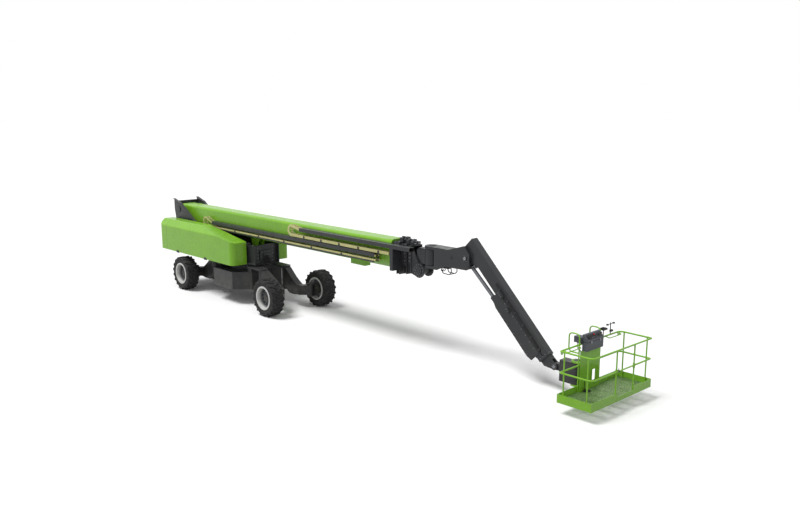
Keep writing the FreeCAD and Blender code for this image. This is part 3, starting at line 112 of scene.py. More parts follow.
def rounded(piece, width, levels=2):
    # applied bevel
    modifier = piece.modifiers.new("edges", "BEVEL")
    modifier.width = width
    modifier.segments = levels
    modifier.angle_limit = math.radians(40)
    modifier.harden_normals = False
    return flattened(piece)


def flattened(piece):
    # the evaluated shape becomes a plain mesh with no modifier
    bpy.context.view_layer.update()
    seen = piece.evaluated_get(bpy.context.evaluated_depsgraph_get())
    mesh = bpy.data.meshes.new_from_object(seen)
    piece.modifiers.clear()
    piece.data = mesh
    mesh.name = piece.name
    return piece


def smooth(piece, angle=35):
    # smooth shading with the sharp edges kept
    mesh = piece.data
    mesh.shade_smooth()
    shape = bmesh.new()
    shape.from_mesh(mesh)
    for edge in shape.edges:
        edge.smooth = len(edge.link_faces) == 2 and edge.calc_face_angle(0) < math.radians(angle)
    shape.to_mesh(mesh)
    shape.free()
    return piece


def finished(name, shape, finish, angle=35):
    piece = smooth(pieceFrom(name, shape), angle)
    piece.data.materials.append(finish)
    return piece


def fit(piece, body, stands=()):
    # the piece moves with its body and stands for the CAD nodes named
    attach(piece, body)
    if stands:
        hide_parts(*stands)
    return piece


def feed(tree, node, inputs):
    # a value or another node's output for each input
    for key, value in inputs.items():
        if hasattr(value, "links"):
            tree.links.new(value, node.inputs[key])
        else:
            node.inputs[key].default_value = value


def addNode(tree, kind, inputs, **settings):
    # a new node's outputs
    node = tree.nodes.new(kind)
    for key, value in settings.items():
        setattr(node, key, value)
    feed(tree, node, inputs)
    return node.outputs


def newFinish(name, colour, roughness, metallic=0.0):
    finish = bpy.data.materials.new(name)
    finish.use_nodes = True
    shader = finish.node_tree.nodes["Principled BSDF"]
    feed(finish.node_tree, shader, {"Base Color": colour, "Roughness": roughness, "Metallic": metallic})
    return finish, finish.node_tree, shader


def ownPlace(tree):
    return addNode(tree, "ShaderNodeTexCoord", {})["Object"]


def ownAxis(tree, axis):
    return addNode(tree, "ShaderNodeSeparateXYZ", {"Vector": ownPlace(tree)})[axis]


def spots(tree, scale, detail=4.0, low=0.4, high=0.6):
    # soft noise on the piece itself, from 0 to 1
    noise = addNode(tree, "ShaderNodeTexNoise", {
        "Vector": ownPlace(tree), "Scale": scale, "Detail": detail, "Roughness": 0.6})
    return span(tree, noise["Fac"], low, high, 0.0, 1.0)


def span(tree, value, low, high, lowest, highest):
    return addNode(tree, "ShaderNodeMapRange", {
        "Value": value, "From Min": low, "From Max": high, "To Min": lowest, "To Max": highest},
        interpolation_type="SMOOTHSTEP")["Result"]


def maths(tree, what, first, second=0.0):
    return addNode(tree, "ShaderNodeMath", {0: first, 1: second}, operation=what)["Value"]


def times(tree, first, second):
    return maths(tree, "MULTIPLY", first, second)


def blend(tree, share, first, second):
    # the mix node's colours are its inputs 6 and 7, its result is output 2
    return addNode(tree, "ShaderNodeMix", {0: share, 6: first, 7: second}, data_type="RGBA")[2]


def bump(tree, height, strength, distance):
    return addNode(tree, "ShaderNodeBump", {"Height": height, "Strength": strength, "Distance": distance})["Normal"]


def shaded(colour, factor, lift=0.0):
    return tuple(min(1.0, factor * c + lift) for c in colour[:3]) + (1.0,)


wear = {"mottleScale": 1.3, "mottleShare": 0.35, "scuffScale": 19.0, "scuffShare": 0.12, "dustScale": 4.0,
        "dustHeight": 1.5, "dust": tone(150, 142, 128), "gloss": 0.25, "coatRoughness": 0.12}


def paint(name, colour, shade, roughness, dustShare, coat=0.0):
    # sprayed paint: slight mottling, scuffs, road dust low down
    finish, tree, shader = newFinish(name, colour, roughness)
    mottled = blend(tree, times(tree, spots(tree, wear["mottleScale"], 5.0), wear["mottleShare"]), colour, shade)
    scuffs = times(tree, spots(tree, wear["scuffScale"], 8.0, 0.62, 0.76), wear["scuffShare"])
    low = span(tree, ownAxis(tree, "Z"), 0.0, wear["dustHeight"], 1.0, 0.0)
    dust = times(tree, times(tree, low, spots(tree, wear["dustScale"], 9.0, 0.38, 0.62)), dustShare)
    feed(tree, shader, {
        "Coat Weight": coat, "Coat Roughness": wear["coatRoughness"], "Specular IOR Level": wear["gloss"],
        "Base Color": blend(tree, dust, blend(tree, scuffs, mottled, shade), wear["dust"]),
        "Roughness": span(tree, spots(tree, 7.0, 6.0), 0.0, 1.0, roughness - 0.05, roughness + 0.07)})
    return finish


def bareMetal(name, colour, roughness):
    # ground or drawn metal with fine lines
    finish, tree, shader = newFinish(name, colour, roughness, 1.0)
    lines = spots(tree, 60.0, 5.0, 0.3, 0.7)
    feed(tree, shader, {
        "Roughness": span(tree, lines, 0.0, 1.0, roughness - 0.07, roughness + 0.12),
        "Base Color": blend(tree, times(tree, spots(tree, 3.0), 0.25), colour, shaded(colour, 0.75)),
        "Normal": bump(tree, lines, 0.06, 0.001)})
    return finish


def moulded(name, colour, roughness, grain=0.25, scale=240.0):
    # moulded plastic with a leathery grain
    finish, tree, shader = newFinish(name, colour, roughness)
    cells = addNode(tree, "ShaderNodeTexVoronoi", {"Vector": ownPlace(tree), "Scale": scale})["Distance"]
    feed(tree, shader, {
        "Specular IOR Level": 0.3, "Normal": bump(tree, cells, grain, 0.0008),
        "Base Color": blend(tree, times(tree, spots(tree, 5.0), 0.3), colour, shaded(colour, 1.35, 0.01))})
    return finish


def castWeight(name, colour):
    # rough casting under a thin coat
    finish, tree, shader = newFinish(name, colour, 0.7)
    feed(tree, shader, {
        "Base Color": blend(tree, times(tree, spots(tree, 9.0, 8.0), 0.5), colour, tone(84, 82, 80)),
        "Normal": bump(tree, spots(tree, 46.0, 8.0, 0.25, 0.75), 0.35, 0.003)})
    return finish


def fromAxle(tree, middle):
    # distance from a wheel's axle
    level = addNode(tree, "ShaderNodeMapping", {
        "Vector": ownPlace(tree), "Location": (-middle.x, 0.0, -middle.z), "Scale": (1.0, 0.0, 1.0)})["Vector"]
    return addNode(tree, "ShaderNodeVectorMath", {0: level}, operation="LENGTH")["Value"]


def tyreRubber(name, middle):
    # dark rubber, dusty in places, with fine moulded rings on the wall
    finish, tree, shader = newFinish(name, tone(34, 34, 35), 0.85)
    dusty = times(tree, spots(tree, 16.0, 9.0, 0.42, 0.66), 0.5)
    rings = maths(tree, "SINE", times(tree, fromAxle(tree, middle), 520.0))
    rough = maths(tree, "ADD", times(tree, rings, 0.12), spots(tree, 90.0, 6.0))
    feed(tree, shader, {
        "Specular IOR Level": 0.3, "Normal": bump(tree, rough, 0.25, 0.002),
        "Base Color": blend(tree, dusty, tone(38, 38, 39), tone(82, 80, 77))})
    return finish


def rimPaint(name, middle):
    # bright lip and barrel, disc painted darker grey as the shade of the deep dish, dark hub, dust in the well
    pale = tone(214, 214, 212)
    finish, tree, shader = newFinish(name, pale, 0.35)
    radius = fromAxle(tree, middle)
    # painted shade: inside the disc radius the rim is darkened to grey, standing for the shade in the deep dish
    discShade = span(tree, radius, wheel["discRadius"] - 0.012, wheel["discRadius"] + 0.012, 1.0, 0.0)
    hub = span(tree, radius, wheel["hubRadius"] - 0.004, wheel["hubRadius"] + 0.004, 1.0, 0.0)
    dust = times(tree, spots(tree, 8.0, 9.0, 0.35, 0.65), 0.22)
    # the grey tone mixed in here is the painted shade of the disc
    tint = blend(tree, discShade, blend(tree, dust, pale, tone(150, 147, 140)), tone(92, 93, 95))
    feed(tree, shader, {"Base Color": blend(tree, hub, tint, tone(50, 51, 53)),
                        "Normal": bump(tree, spots(tree, 120.0, 3.0), 0.08, 0.001)})
    return finish


def hoodPaint(name, colour, shade, seam):
    # glossy moulded cover with shallow panel seams
    finish = paint(name, colour, shade, 0.28, 0.08, 0.15)
    tree = finish.node_tree
    shader = tree.nodes["Principled BSDF"]
    off = maths(tree, "ABSOLUTE", maths(tree, "SUBTRACT", ownAxis(tree, "X"), seam))
    line = times(tree, span(tree, off, 0.004, 0.010, 1.0, 0.0), 0.75)
    base = shader.inputs["Base Color"].links[0].from_socket
    feed(tree, shader, {"Base Color": blend(tree, line, base, tone(44, 62, 22))})
    return finish


wheel = {"tread": 0.592, "lugTop": 0.620, "halfWidth": 0.215, "bead": 0.392, "lugCount": 18, "lugBase": 0.075,
         "lugCrest": 0.046, "sides": 96, "nutCircle": 0.20, "nutCount": 10, "nutRadius": 0.017, "nutHeight": 0.022,
         "nutSeat": 0.06, "hubRadius": 0.152, "discRadius": 0.315}
greens = {"green": tone(127, 184, 45), "greenShade": tone(112, 168, 38), "hoodSeam": -9.28}
darks = {"chassis": tone(53, 54, 54), "chassisShade": tone(42, 43, 43),
         "dark": tone(56, 57, 59), "darkShade": tone(43, 44, 46)}

greenPaint = paint("greenPaint", greens["green"], greens["greenShade"], 0.30, 0.08, 0.12)
coverPaint = hoodPaint("coverPaint", greens["green"], greens["greenShade"], greens["hoodSeam"])
chassisPaint = paint("chassisPaint", darks["chassis"], darks["chassisShade"], 0.36, 0.20)
darkPaint = paint("darkPaint", darks["dark"], darks["darkShade"], 0.34, 0.12)
blackPlastic = moulded("blackPlastic", tone(38, 38, 40), 0.5)
slatePlastic = moulded("slatePlastic", tone(78, 80, 88), 0.45)
redPlastic = moulded("redPlastic", tone(176, 32, 28), 0.4, 0.08)
hoseRubber = moulded("hoseRubber", tone(30, 30, 32), 0.6, 0.3, 400.0)
chainPlastic = moulded("chainPlastic", tone(194, 191, 134), 0.5, 0.12, 90.0)
castIron = castWeight("castIron", tone(58, 58, 58))
chromeRod = bareMetal("chromeRod", tone(214, 216, 220), 0.14)
greyRod = bareMetal("greyRod", tone(112, 114, 118), 0.30)
zincSteel = bareMetal("zincSteel", tone(128, 130, 134), 0.42)
deckMetal = bareMetal("deckMetal", tone(156, 184, 128), 0.42)
engineMetal = bareMetal("engineMetal", tone(104, 104, 106), 0.55)
print("finishes made")

nodeFinish = {
    greenPaint: ("boom_base", "platform_frame", "platform_rails", "gate_bar", "console_panel"),
    coverPaint: ("hood_left", "hood_right"),
    chassisPaint: ("chassis_frame",) + tuple(part + corner for part in ("leg_", "knuckle_") for corner in corners),
    darkPaint: ("turret_frame", "turret_pedestal", "slew_ring", "lift_barrel", "boom_mid_1", "boom_mid_2", "boom_fly",
                "carrier_lower", "carrier_upper", "chain_hooks", "head_bracket", "jib_base", "jib_outer",
                "jib_inner", "jib_barrel", "platform_support"),
    chromeRod: ("lift_rod",),
    greyRod: ("jib_rod",),
    castIron: ("counterweight",),
    engineMetal: ("engine_block",),
    blackPlastic: ("fluid_tank", "wind_sensor", "platform_lamp"),
    chainPlastic: ("chain_lower", "chain_upper"),
    slatePlastic: ("console_box",),
    deckMetal: ("platform_floor",),
}


def repaint(nodeName, finish):
    slots = nodes[nodeName].data.materials
    slots.clear()
    slots.append(finish)


for finish, names in nodeFinish.items():
    for nodeName in names:
        repaint(nodeName, finish)
print("frame painted")


studio = {"cameraPlace": (18.848, -15.170, 6.648), "azimuth": 47.062, "down": 11.065, "lens": 35.87, "sensor": 36.0,
          "seenTo": 1000.0, "keyFrom": (-0.25, -0.42, 1.0), "keyStrength": 2.5, "keyAngle": 25.0,
          "fillFrom": (0.9, -0.6, 0.3), "fillStrength": 0.45, "fillAngle": 60.0, "sky": 0.40,
          "floorSeen": (0.97, 0.97, 0.97, 1.0), "floorLit": (0.40, 0.40, 0.40, 1.0), "floorHalf": 400.0}


def setCamera():
    azimuth, down = math.radians(studio["azimuth"]), math.radians(studio["down"])
    ahead = Vector((-math.sin(azimuth) * math.cos(down), math.cos(azimuth) * math.cos(down), -math.sin(down)))
    camera = addObject("camera", bpy.data.cameras.new("camera"))
    camera.data.sensor_width = studio["sensor"]
    camera.data.lens = studio["lens"]
    camera.data.clip_end = studio["seenTo"]
    camera.location = studio["cameraPlace"]
    camera.rotation_euler = ahead.to_track_quat("-Z", "Y").to_euler()
    bpy.context.scene.camera = camera


def addSun(name):
    lamp = addObject(name + "Light", bpy.data.lights.new(name + "Light", "SUN"))
    lamp.data.energy = studio[name + "Strength"]
    lamp.data.angle = math.radians(studio[name + "Angle"])
    lamp.rotation_euler = Vector(studio[name + "From"]).to_track_quat("Z", "Y").to_euler()


def raysSeen(tree, *kinds):
    # 1 for the camera's rays and the other kinds named, else 0
    path = addNode(tree, "ShaderNodeLightPath", {})
    seen = path["Is Camera Ray"]
    for kind in kinds:
        seen = maths(tree, "MAXIMUM", seen, path["Is %s Ray" % kind])
    return seen


def setSky():
    world = bpy.data.worlds.new("sky")
    bpy.context.scene.world = world
    world.use_nodes = True
    tree = world.node_tree
    seen = raysSeen(tree, "Transmission", "Glossy")
    strength = addNode(tree, "ShaderNodeMapRange", {"Value": seen, "To Min": studio["sky"], "To Max": 1.0})["Result"]
    feed(tree, tree.nodes["Background"], {"Color": (1.0, 1.0, 1.0, 1.0), "Strength": strength})


def addFloor():
    shape = bmesh.new()
    bmesh.ops.create_grid(shape, x_segments=1, y_segments=1, size=studio["floorHalf"])
    floor = pieceFrom("floor", shape)
    finish, tree, shader = newFinish("floorFinish", studio["floorLit"], 0.9)
    feed(tree, shader, {"Specular IOR Level": 0.0, "Base Color": blend(
        tree, raysSeen(tree, "Glossy"), studio["floorLit"], studio["floorSeen"])})
    floor.data.materials.append(finish)


setCamera()
addSun("key")
addSun("fill")
setSky()
addFloor()
bpy.context.scene.view_settings.view_transform = "Standard"
print("studio ready")


def newTree(name, inputs):
    # every tree also takes the whole's place, turn and finish
    tree = bpy.data.node_groups.new(name, "GeometryNodeTree")
    sockets = {"Geometry": ("Geometry", None), **inputs, "Place": ("Vector", (0, 0, 0)),
               "Turn": ("Vector", (0, 0, 0)), "Finish": ("Material", None)}
    for label, (kind, value) in sockets.items():
        socket = tree.interface.new_socket(label, in_out="INPUT", socket_type="NodeSocket" + kind)
        if value is not None:
            socket.default_value = value
    tree.interface.new_socket("Geometry", in_out="OUTPUT", socket_type="NodeSocketGeometry")
    return tree, tree.nodes.new("NodeGroupInput").outputs


def endTree(tree, source, points, turn):
    # a copy on each point, realized, placed as a whole and given the finish
    made = addNode(tree, "GeometryNodeInstanceOnPoints", {
        "Points": points, "Instance": source["Geometry"], "Rotation": turn})["Instances"]
    for step, inputs in (("RealizeInstances", {}), ("SetMaterial", {"Material": source["Finish"]}),
                         ("Transform", {"Translation": source["Place"], "Rotation": source["Turn"]})):
        made = addNode(tree, "GeometryNode" + step, {"Geometry": made, **inputs})["Geometry"]
    feed(tree, tree.nodes.new("NodeGroupOutput"), {"Geometry": made})
    return tree


def makeLineTree(name, allRound):
    # copies a step apart, or all round the local Z axis at their own radius
    tree, source = newTree(name, {"Count": ("Int", 2), "Step": ("Vector", (0, 0, 0))})
    points = addNode(tree, "GeometryNodeMeshLine", {"Count": source["Count"], "Offset": source["Step"]}, mode="OFFSET")
    index = addNode(tree, "GeometryNodeInputIndex", {})["Index"]
    angle = times(tree, maths(tree, "DIVIDE", index, source["Count"]), allRound)
    turn = addNode(tree, "ShaderNodeCombineXYZ", {"Z": angle})["Vector"]
    return endTree(tree, source, points["Mesh"], turn)


def makePathTree():
    # links along an upright path, each turned to the path's slope
    tree, source = newTree("linksOnPath", {"Path": ("Object", None), "Pitch": ("Float", 0.1)})
    path = addNode(tree, "GeometryNodeObjectInfo", {"Object": source["Path"]}, transform_space="ORIGINAL")
    points = addNode(tree, "GeometryNodeCurveToPoints", {
        "Curve": path["Geometry"], "Length": source["Pitch"]}, mode="LENGTH")
    parts = addNode(tree, "ShaderNodeSeparateXYZ", {"Vector": points["Tangent"]})
    slope = times(tree, maths(tree, "ARCTAN2", parts["Z"], parts["X"]), -1.0)
    turn = addNode(tree, "ShaderNodeCombineXYZ", {"Y": slope})["Vector"]
    return endTree(tree, source, points["Points"], turn)


ringTree, rowTree = makeLineTree("ringOfPieces", 2 * math.pi), makeLineTree("rowOfPieces", 0.0)
pathTree = makePathTree()


def repeated(piece, tree, values):
    # runs a tree on a piece and keeps the plain result
    modifier = piece.modifiers.new("repeat", "NODES")
    modifier.node_group = tree
    for item in tree.interface.items_tree:
        if item.item_type == "SOCKET" and item.in_out == "INPUT" and item.name in values:
            modifier[item.identifier] = values[item.name]
    return flattened(piece)


def joined(name, pieces):
    # several pieces of one body as one mesh
    shape = bmesh.new()
    finishes = []
    for piece in pieces:
        own = list(piece.data.materials)
        finishes += [finish for finish in own if finish not in finishes]
        for face in piece.data.polygons:
            face.material_index = finishes.index(own[face.material_index]) if own else 0
        shape.from_mesh(piece.data)
        bpy.data.objects.remove(piece)
    mesh = bpy.data.meshes.new(name)
    shape.to_mesh(mesh)
    shape.free()
    for finish in finishes:
        mesh.materials.append(finish)
    return addObject(name, mesh)


def unitBlock(low, high, turn=None):
    shape = bmesh.new()
    addBlock(shape, low, high, turn)
    return pieceFrom("unit", shape)


def screwUnit(radius, height):
    # hexagon head on a washer, its seat at the origin and its head up Z
    shape = bmesh.new()
    addBar(shape, (0, 0, -0.001), (0, 0, 0.15 * height), 1.45 * radius, 16)
    addBar(shape, (0, 0, 0.0), (0, 0, height), radius, 6, 0.94 * radius)
    return pieceFrom("screw", shape)


def carcass():
    # casing turned about Z: tread, one wall, its seat, and the same mirrored
    tread, half, bead = wheel["tread"], wheel["halfWidth"], wheel["bead"]
    crown = [(0.05, tread), (0.14, tread - 0.004), (0.20, tread - 0.016), (half, tread - 0.045), (half + 0.006, 0.53),
             (half, 0.48), (half - 0.012, 0.43), (half - 0.014, 0.412), (half - 0.018, bead),
             (half - 0.04, bead - 0.008), (half - 0.06, bead)]
    outline = crown + [(-across, radius) for across, radius in reversed(crown)]
    shape = bmesh.new()
    addTurned(shape, outline, wheel["sides"])
    return smooth(pieceFrom("casing", shape), 50)


def lugUnit(side, phase):
    # one tread bar, swept back from the middle to the shoulder
    tread, top, base, crest = wheel["tread"], wheel["lugTop"], wheel["lugBase"], wheel["lugCrest"]
    stations = [(-0.012, 0.0, tread - 0.012, top - 0.002, 0.8), (0.05, 0.035, tread - 0.012, top, 1.0),
                (0.11, 0.085, tread - 0.014, top, 1.0), (0.17, 0.150, tread - 0.02, top - 0.002, 1.08),
                (0.213, 0.205, tread - 0.04, top - 0.010, 1.2), (0.2245, 0.225, 0.53, top - 0.035, 1.15),
                (0.2225, 0.230, 0.50, 0.545, 0.9)]  # across, swept angle, foot, crest, width
    shape = bmesh.new()
    rows = []
    for across, sweep, low, high, wide in stations:
        row = []
        for radius, half in ((low, base / 2), (high, crest / 2), (high, -crest / 2), (low, -base / 2)):
            angle = sweep + phase + wide * half / radius
            row.append(shape.verts.new((radius * math.cos(angle), radius * math.sin(angle), side * across)))
        rows.append(row)
    bridge(shape, rows)
    return pieceFrom("lug", shape)


def makeWheel(corner):
    low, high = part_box("tyre_" + corner)
    middle = (low + high) / 2
    side = 1 if middle.y > 0 else -1
    onAxle = {"Count": 1, "Place": tuple(middle), "Turn": (-side * math.pi / 2, 0.0, 0.0),
              "Finish": tyreRubber("tyreRubber_" + corner, middle)}
    parts = [repeated(carcass(), ringTree, onAxle)]
    onAxle["Count"] = wheel["lugCount"]
    parts.append(repeated(lugUnit(1, 0.0), ringTree, onAxle))
    parts.append(repeated(lugUnit(-1, math.pi / wheel["lugCount"]), ringTree, onAxle))
    fit(joined("tyre_tread_" + corner, parts), "wheel_" + corner, stands=("tyre_" + corner,))
    nuts = screwUnit(wheel["nutRadius"], wheel["nutHeight"])
    nuts.data.transform(Matrix.Translation((wheel["nutCircle"], 0, wheel["nutSeat"])))
    nuts = repeated(nuts, ringTree, {**onAxle, "Count": wheel["nutCount"], "Finish": zincSteel})
    nuts.name = "wheel_nuts_" + corner
    fit(nuts, "wheel_" + corner)
    repaint("rim_" + corner, rimPaint("rimPaint_" + corner, middle))


for corner in corners:
    makeWheel(corner)
print("wheels done")


chain = {"pitch": 0.09, "plate": 0.010, "gap": 0.004, "crossBar": 0.012, "barHalf": 0.003, "pin": 0.010,
         "edge": 0.004, "bendSteps": 24}
lowerRun = {"height": 0.055, "front": 2.03, "bend": -7.44, "bottom": 2.400, "top": 2.760, "ramp": -6.99,
            "shelf": 2.528, "topFront": 2.03}
upperRun = {"height": 0.085, "front": 2.58, "bend": -2.03, "bottom": 2.650, "top": 3.030, "ramp": -1.58,
            "shelf": 2.858, "topFront": 2.685}


def linkUnit(length, width, height):
    # one link: two side plates with pin heads, and two cross bars
    plates, pins = bmesh.new(), bmesh.new()
    plate, bar, half = chain["plate"], chain["crossBar"], chain["barHalf"]
    for side in (-1, 1):
        y = side * (width / 2 - plate / 2)
        addBlock(plates, (-length / 2, y - plate / 2, -height / 2), (length / 2, y + plate / 2, height / 2))
        z = side * (height / 2 - half)
        addBlock(plates, (-bar, -width / 2 + plate, z - half), (bar, width / 2 - plate, z + half))
        y = side * (width / 2 - plate)
        addBar(pins, (length / 3, y, 0), (length / 3, y + side * (plate + 0.001), 0), chain["pin"], 10)
    return joined("link", [rounded(pieceFrom("plates", plates), chain["edge"], 1), pieceFrom("pins", pins)])


def pathObject(name, middleY, run):
    # middle line of the loop: low run, round turn, ramp down to the shelf, high run
    half = run["height"] / 2
    radius = (run["top"] - run["bottom"]) / 2 - half
    level = (run["top"] + run["bottom"]) / 2
    points = [(run["front"], level - radius), (run["bend"], level - radius)]
    for i in range(1, chain["bendSteps"]):
        angle = math.radians(270 - 180 * i / chain["bendSteps"])
        points.append((run["bend"] + radius * math.cos(angle), level + radius * math.sin(angle)))
    points += [(run["bend"], level + radius), (run["ramp"], run["shelf"] + half),
               (run["topFront"], run["shelf"] + half)]
    data = bpy.data.curves.new(name, "CURVE")
    data.dimensions = "3D"
    spline = data.splines.new("POLY")
    spline.points.add(len(points) - 1)
    for point, (x, z) in zip(spline.points, points):
        point.co = (x, middleY, z, 1.0)
    return addObject(name, data)


def makeChain(nodeName, body, run):
    low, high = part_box(nodeName)
    path = pathObject(nodeName + "_path", (low.y + high.y) / 2, run)
    unit = linkUnit(chain["pitch"] - chain["gap"], high.y - low.y - 0.004, run["height"] - 0.002)
    links = repeated(unit, pathTree, {"Path": path, "Pitch": chain["pitch"], "Finish": chainPlastic})
    bpy.data.objects.remove(path)
    links.name = nodeName + "_links"
    fit(smooth(links), body, stands=(nodeName,))


makeChain("chain_lower", "boom", lowerRun)
makeChain("chain_upper", "boom_stage_1", upperRun)
print("chains done")


deck = {"strand": 0.018, "cellX": 0.1249, "cellY": 0.0606}


def makeDeck():
    # expanded metal: crossing strands, cell by cell
    low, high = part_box("platform_floor")
    size = high - low
    countX, countY = round(size.x / deck["cellX"]), round(size.y / deck["cellY"])
    cell = Vector((size.x / countX, size.y / countY, size.z))
    reach = Vector((math.hypot(cell.x, cell.y) / 2, deck["strand"] / 2, size.z / 2))
    shape = bmesh.new()
    for side in (-1, 1):
        addBlock(shape, -reach, reach, Matrix.Rotation(math.atan2(side * cell.y, cell.x), 4, "Z"))
    row = repeated(pieceFrom("deck_mesh", shape), rowTree, {"Count": countX, "Step": (cell.x, 0, 0),
                                                            "Finish": deckMetal})
    made = repeated(row, rowTree, {"Count": countY, "Step": (0, cell.y, 0), "Place": tuple(low + cell / 2),
                                   "Finish": deckMetal})
    fit(made, "platform", stands=("platform_floor",))


makeDeck()
print("deck done")


screws = {"slew": (0.012, 0.015), "plate": (0.009, 0.010), "pad": (0.011, 0.012), "topPad": (0.010, 0.010),
          "mouth": (0.008, 0.009), "gland": (0.007, 0.008), "box": (0.005, 0.006)}  # radius, height
pins = {  # cap radius and height, circle and count of its screws, their radius and height
    "hinge": (0.075, 0.012, 0.105, 6, 0.010, 0.012), "kingpin": (0.056, 0.012, 0.080, 6, 0.008, 0.010),
    "hub": (0.095, 0.016, 0.122, 10, 0.009, 0.011), "boomPivot": (0.060, 0.010, 0.085, 8, 0.009, 0.011),
    "tankLid": (0.11, 0.025, 0.125, 8, 0.007, 0.009), "nose": (0.070, 0.012, 0.100, 8, 0.009, 0.010),
    "yoke": (0.085, 0.018, 0.135, 12, 0.010, 0.011), "jibPivot": (0.044, 0.010, 0.074, 6, 0.007, 0.009),
    "jibEnd": (0.042, 0.008, 0.062, 6, 0.008, 0.009), "rotator": (0.070, 0.014, 0.100, 10, 0.008, 0.009)}
tubes = {  # radius, bend
    "turretHose": (0.011, 0.04), "mountHose": (0.010, 0.04), "armHose": (0.010, 0.03), "cable": (0.007, 0.05),
    "footCable": (0.006, 0.02), "ramPipe": (0.009, 0.03), "loop": (0.013, 0.05), "tie": (0.010, 0.01)}
fitting = {"nut": 0.013, "nutHeight": 0.014, "stem": 0.008, "stemHeight": 0.032}
upward, forward, toRight = (0, 0, 1), (1, 0, 0), (0, -1, 0)


def turnTo(outward):
    # turn that carries local Z to the outward direction
    return Vector(outward).to_track_quat("Z", "Y")


def screwed(unit, tree, place, outward, values):
    turn = tuple(turnTo(outward).to_euler())
    return [repeated(unit, tree, {**values, "Place": tuple(place), "Turn": turn, "Finish": zincSteel})]


def screwRing(centre, outward, circle, count, screw):
    unit = screwUnit(*screw)
    unit.data.transform(Matrix.Translation((circle, 0, 0)))
    return screwed(unit, ringTree, centre, outward, {"Count": count})


def screwRow(first, outward, step, count, screw="plate"):
    # the row's step is given in the part's own directions
    local = turnTo(outward).to_matrix().inverted() @ Vector(step)
    return screwed(screwUnit(*screws[screw]), rowTree, first, outward, {"Count": count, "Step": tuple(local)})


def blockRow(low, high, first, step, count, finish):
    return [repeated(unitBlock(low, high), rowTree, {"Count": count, "Step": step, "Place": first, "Finish": finish})]


def bars(finish, *ends, angle=35):
    # round bars as one piece: start, end, radius and sides of each
    return turned([], 0, finish, *ends, angle=angle)


def turned(outline, sides, finish, *ends, angle=35):
    # an outline turned about Z, with round bars if given
    shape = bmesh.new()
    addTurned(shape, outline, sides)
    bmesh.ops.remove_doubles(shape, verts=shape.verts, dist=0.00001)
    for end in ends:
        addBar(shape, *end)
    return [finished("turned", shape, finish, angle)]


def drum(finish, x, y, z, *steps):
    # stepped round body along X: start, end, radius and sides of each step
    return bars(finish, *(((x + start, y, z), (x + end, y, z), radius, sides) for start, end, radius, sides in steps))


def capDisc(centre, outward, radius, height, finish):
    # round cover with a broken edge and a raised middle
    outline = [(0.0, 0.0), (0.0, radius), (0.7 * height, radius), (height, 0.93 * radius),
               (height, 0.45 * radius), (0.8 * height, 0.40 * radius), (0.8 * height, 0.0)]
    return moved(turned(outline, 40, finish), Matrix.Translation(centre) @ turnTo(outward).to_matrix().to_4x4())


def pinCap(centre, outward, kind, finish=darkPaint, sunk=0.0):
    # cover in a ring of screws, which sit further in by what is sunk
    radius, height, circle, count, *screw = pins[kind]
    seat = Vector(centre) - sunk * Vector(outward)
    return capDisc(centre, outward, radius, height, finish) + screwRing(seat, outward, circle, count, screw)


def mirrored(make, x, y, z, *rest):
    # the same fittings on the right and left, facing outward
    return [made for side in (-1, 1) for made in make((x, side * y, z), (0, side, 0), *rest)]


def roundedRoute(points, bend, steps=6):
    # the corners of a route as arcs
    points = [Vector(p) for p in points]
    route = [points[0]]
    for before, corner, after in zip(points, points[1:], points[2:]):
        into, out = (before - corner).normalized(), (after - corner).normalized()
        angle = into.angle(out)
        if angle > math.radians(176):
            route.append(corner)
            continue
        cut = min(bend / math.tan(angle / 2), 0.49 * (before - corner).length, 0.49 * (after - corner).length)
        middle = corner + (into + out).normalized() * (cut / math.cos(angle / 2))
        radius = cut * math.tan(angle / 2)
        start, end = ((corner + way * cut - middle).normalized() for way in (into, out))
        route += [middle + radius * start.slerp(end, i / steps) for i in range(steps + 1)]
    return route + [points[-1]]


def pipe(kind, points, finish=hoseRubber, sides=10):
    # tube along a route with rounded corners
    radius, bend = tubes[kind]
    route = roundedRoute(points, bend)
    shape = bmesh.new()
    ahead = (route[1] - route[0]).normalized()
    across = ahead.orthogonal().normalized()
    angles = [2 * math.pi * k / sides for k in range(sides)]
    rings = []
    for i, place in enumerate(route):
        heading = (route[min(i + 1, len(route) - 1)] - route[max(i - 1, 0)]).normalized()
        across = (ahead.rotation_difference(heading) @ across).normalized()
        ahead = heading
        side = ahead.cross(across)
        rings.append([shape.verts.new(place + radius * (across * math.cos(angle) + side * math.sin(angle)))
                      for angle in angles])
    bridge(shape, rings)
    return [finished(kind, shape, finish)]


def block(low, high, finish, edge=0.004):
    # block with broken edges
    made = smooth(rounded(unitBlock(low, high), edge), 30)
    made.data.materials.append(finish)
    return [made]


def valve(place, size, outward, ports):
    # valve block with a row of hose fittings on its outer face
    place, size, away = Vector(place), Vector(size), Vector(outward)
    parts = block(place - size / 2, place + size / 2, darkPaint, edge=0.003)
    for i in range(ports):
        start = place + away * max(abs(a * b) for a, b in zip(away, size)) / 2
        start.x += (i - (ports - 1) / 2) * size.x / (ports + 0.5)
        parts += bars(zincSteel, (start, start + away * fitting["nutHeight"], fitting["nut"], 6),
                      (start, start + away * fitting["stemHeight"], fitting["stem"], 12), angle=0)
    return parts


def moved(pieces, matrix):
    for piece in pieces:
        piece.data.transform(matrix)
    return pieces


def ownFrame(origin, *axes):
    # matrix of a place with its own three directions
    place = Matrix(axes).transposed().to_4x4()
    place.translation = origin
    return place


def gather(name, body, pieces):
    return fit(joined(name, pieces), body)


running = {"slewX": -5.37, "ringTop": 1.255, "ringCircle": 0.625, "ringScrews": 36, "hinge": (1.55, 0.48, 1.32),
           "kingpin": (2.75, 0.62, 0.84), "hubFace": 1.14, "axle": 0.62}


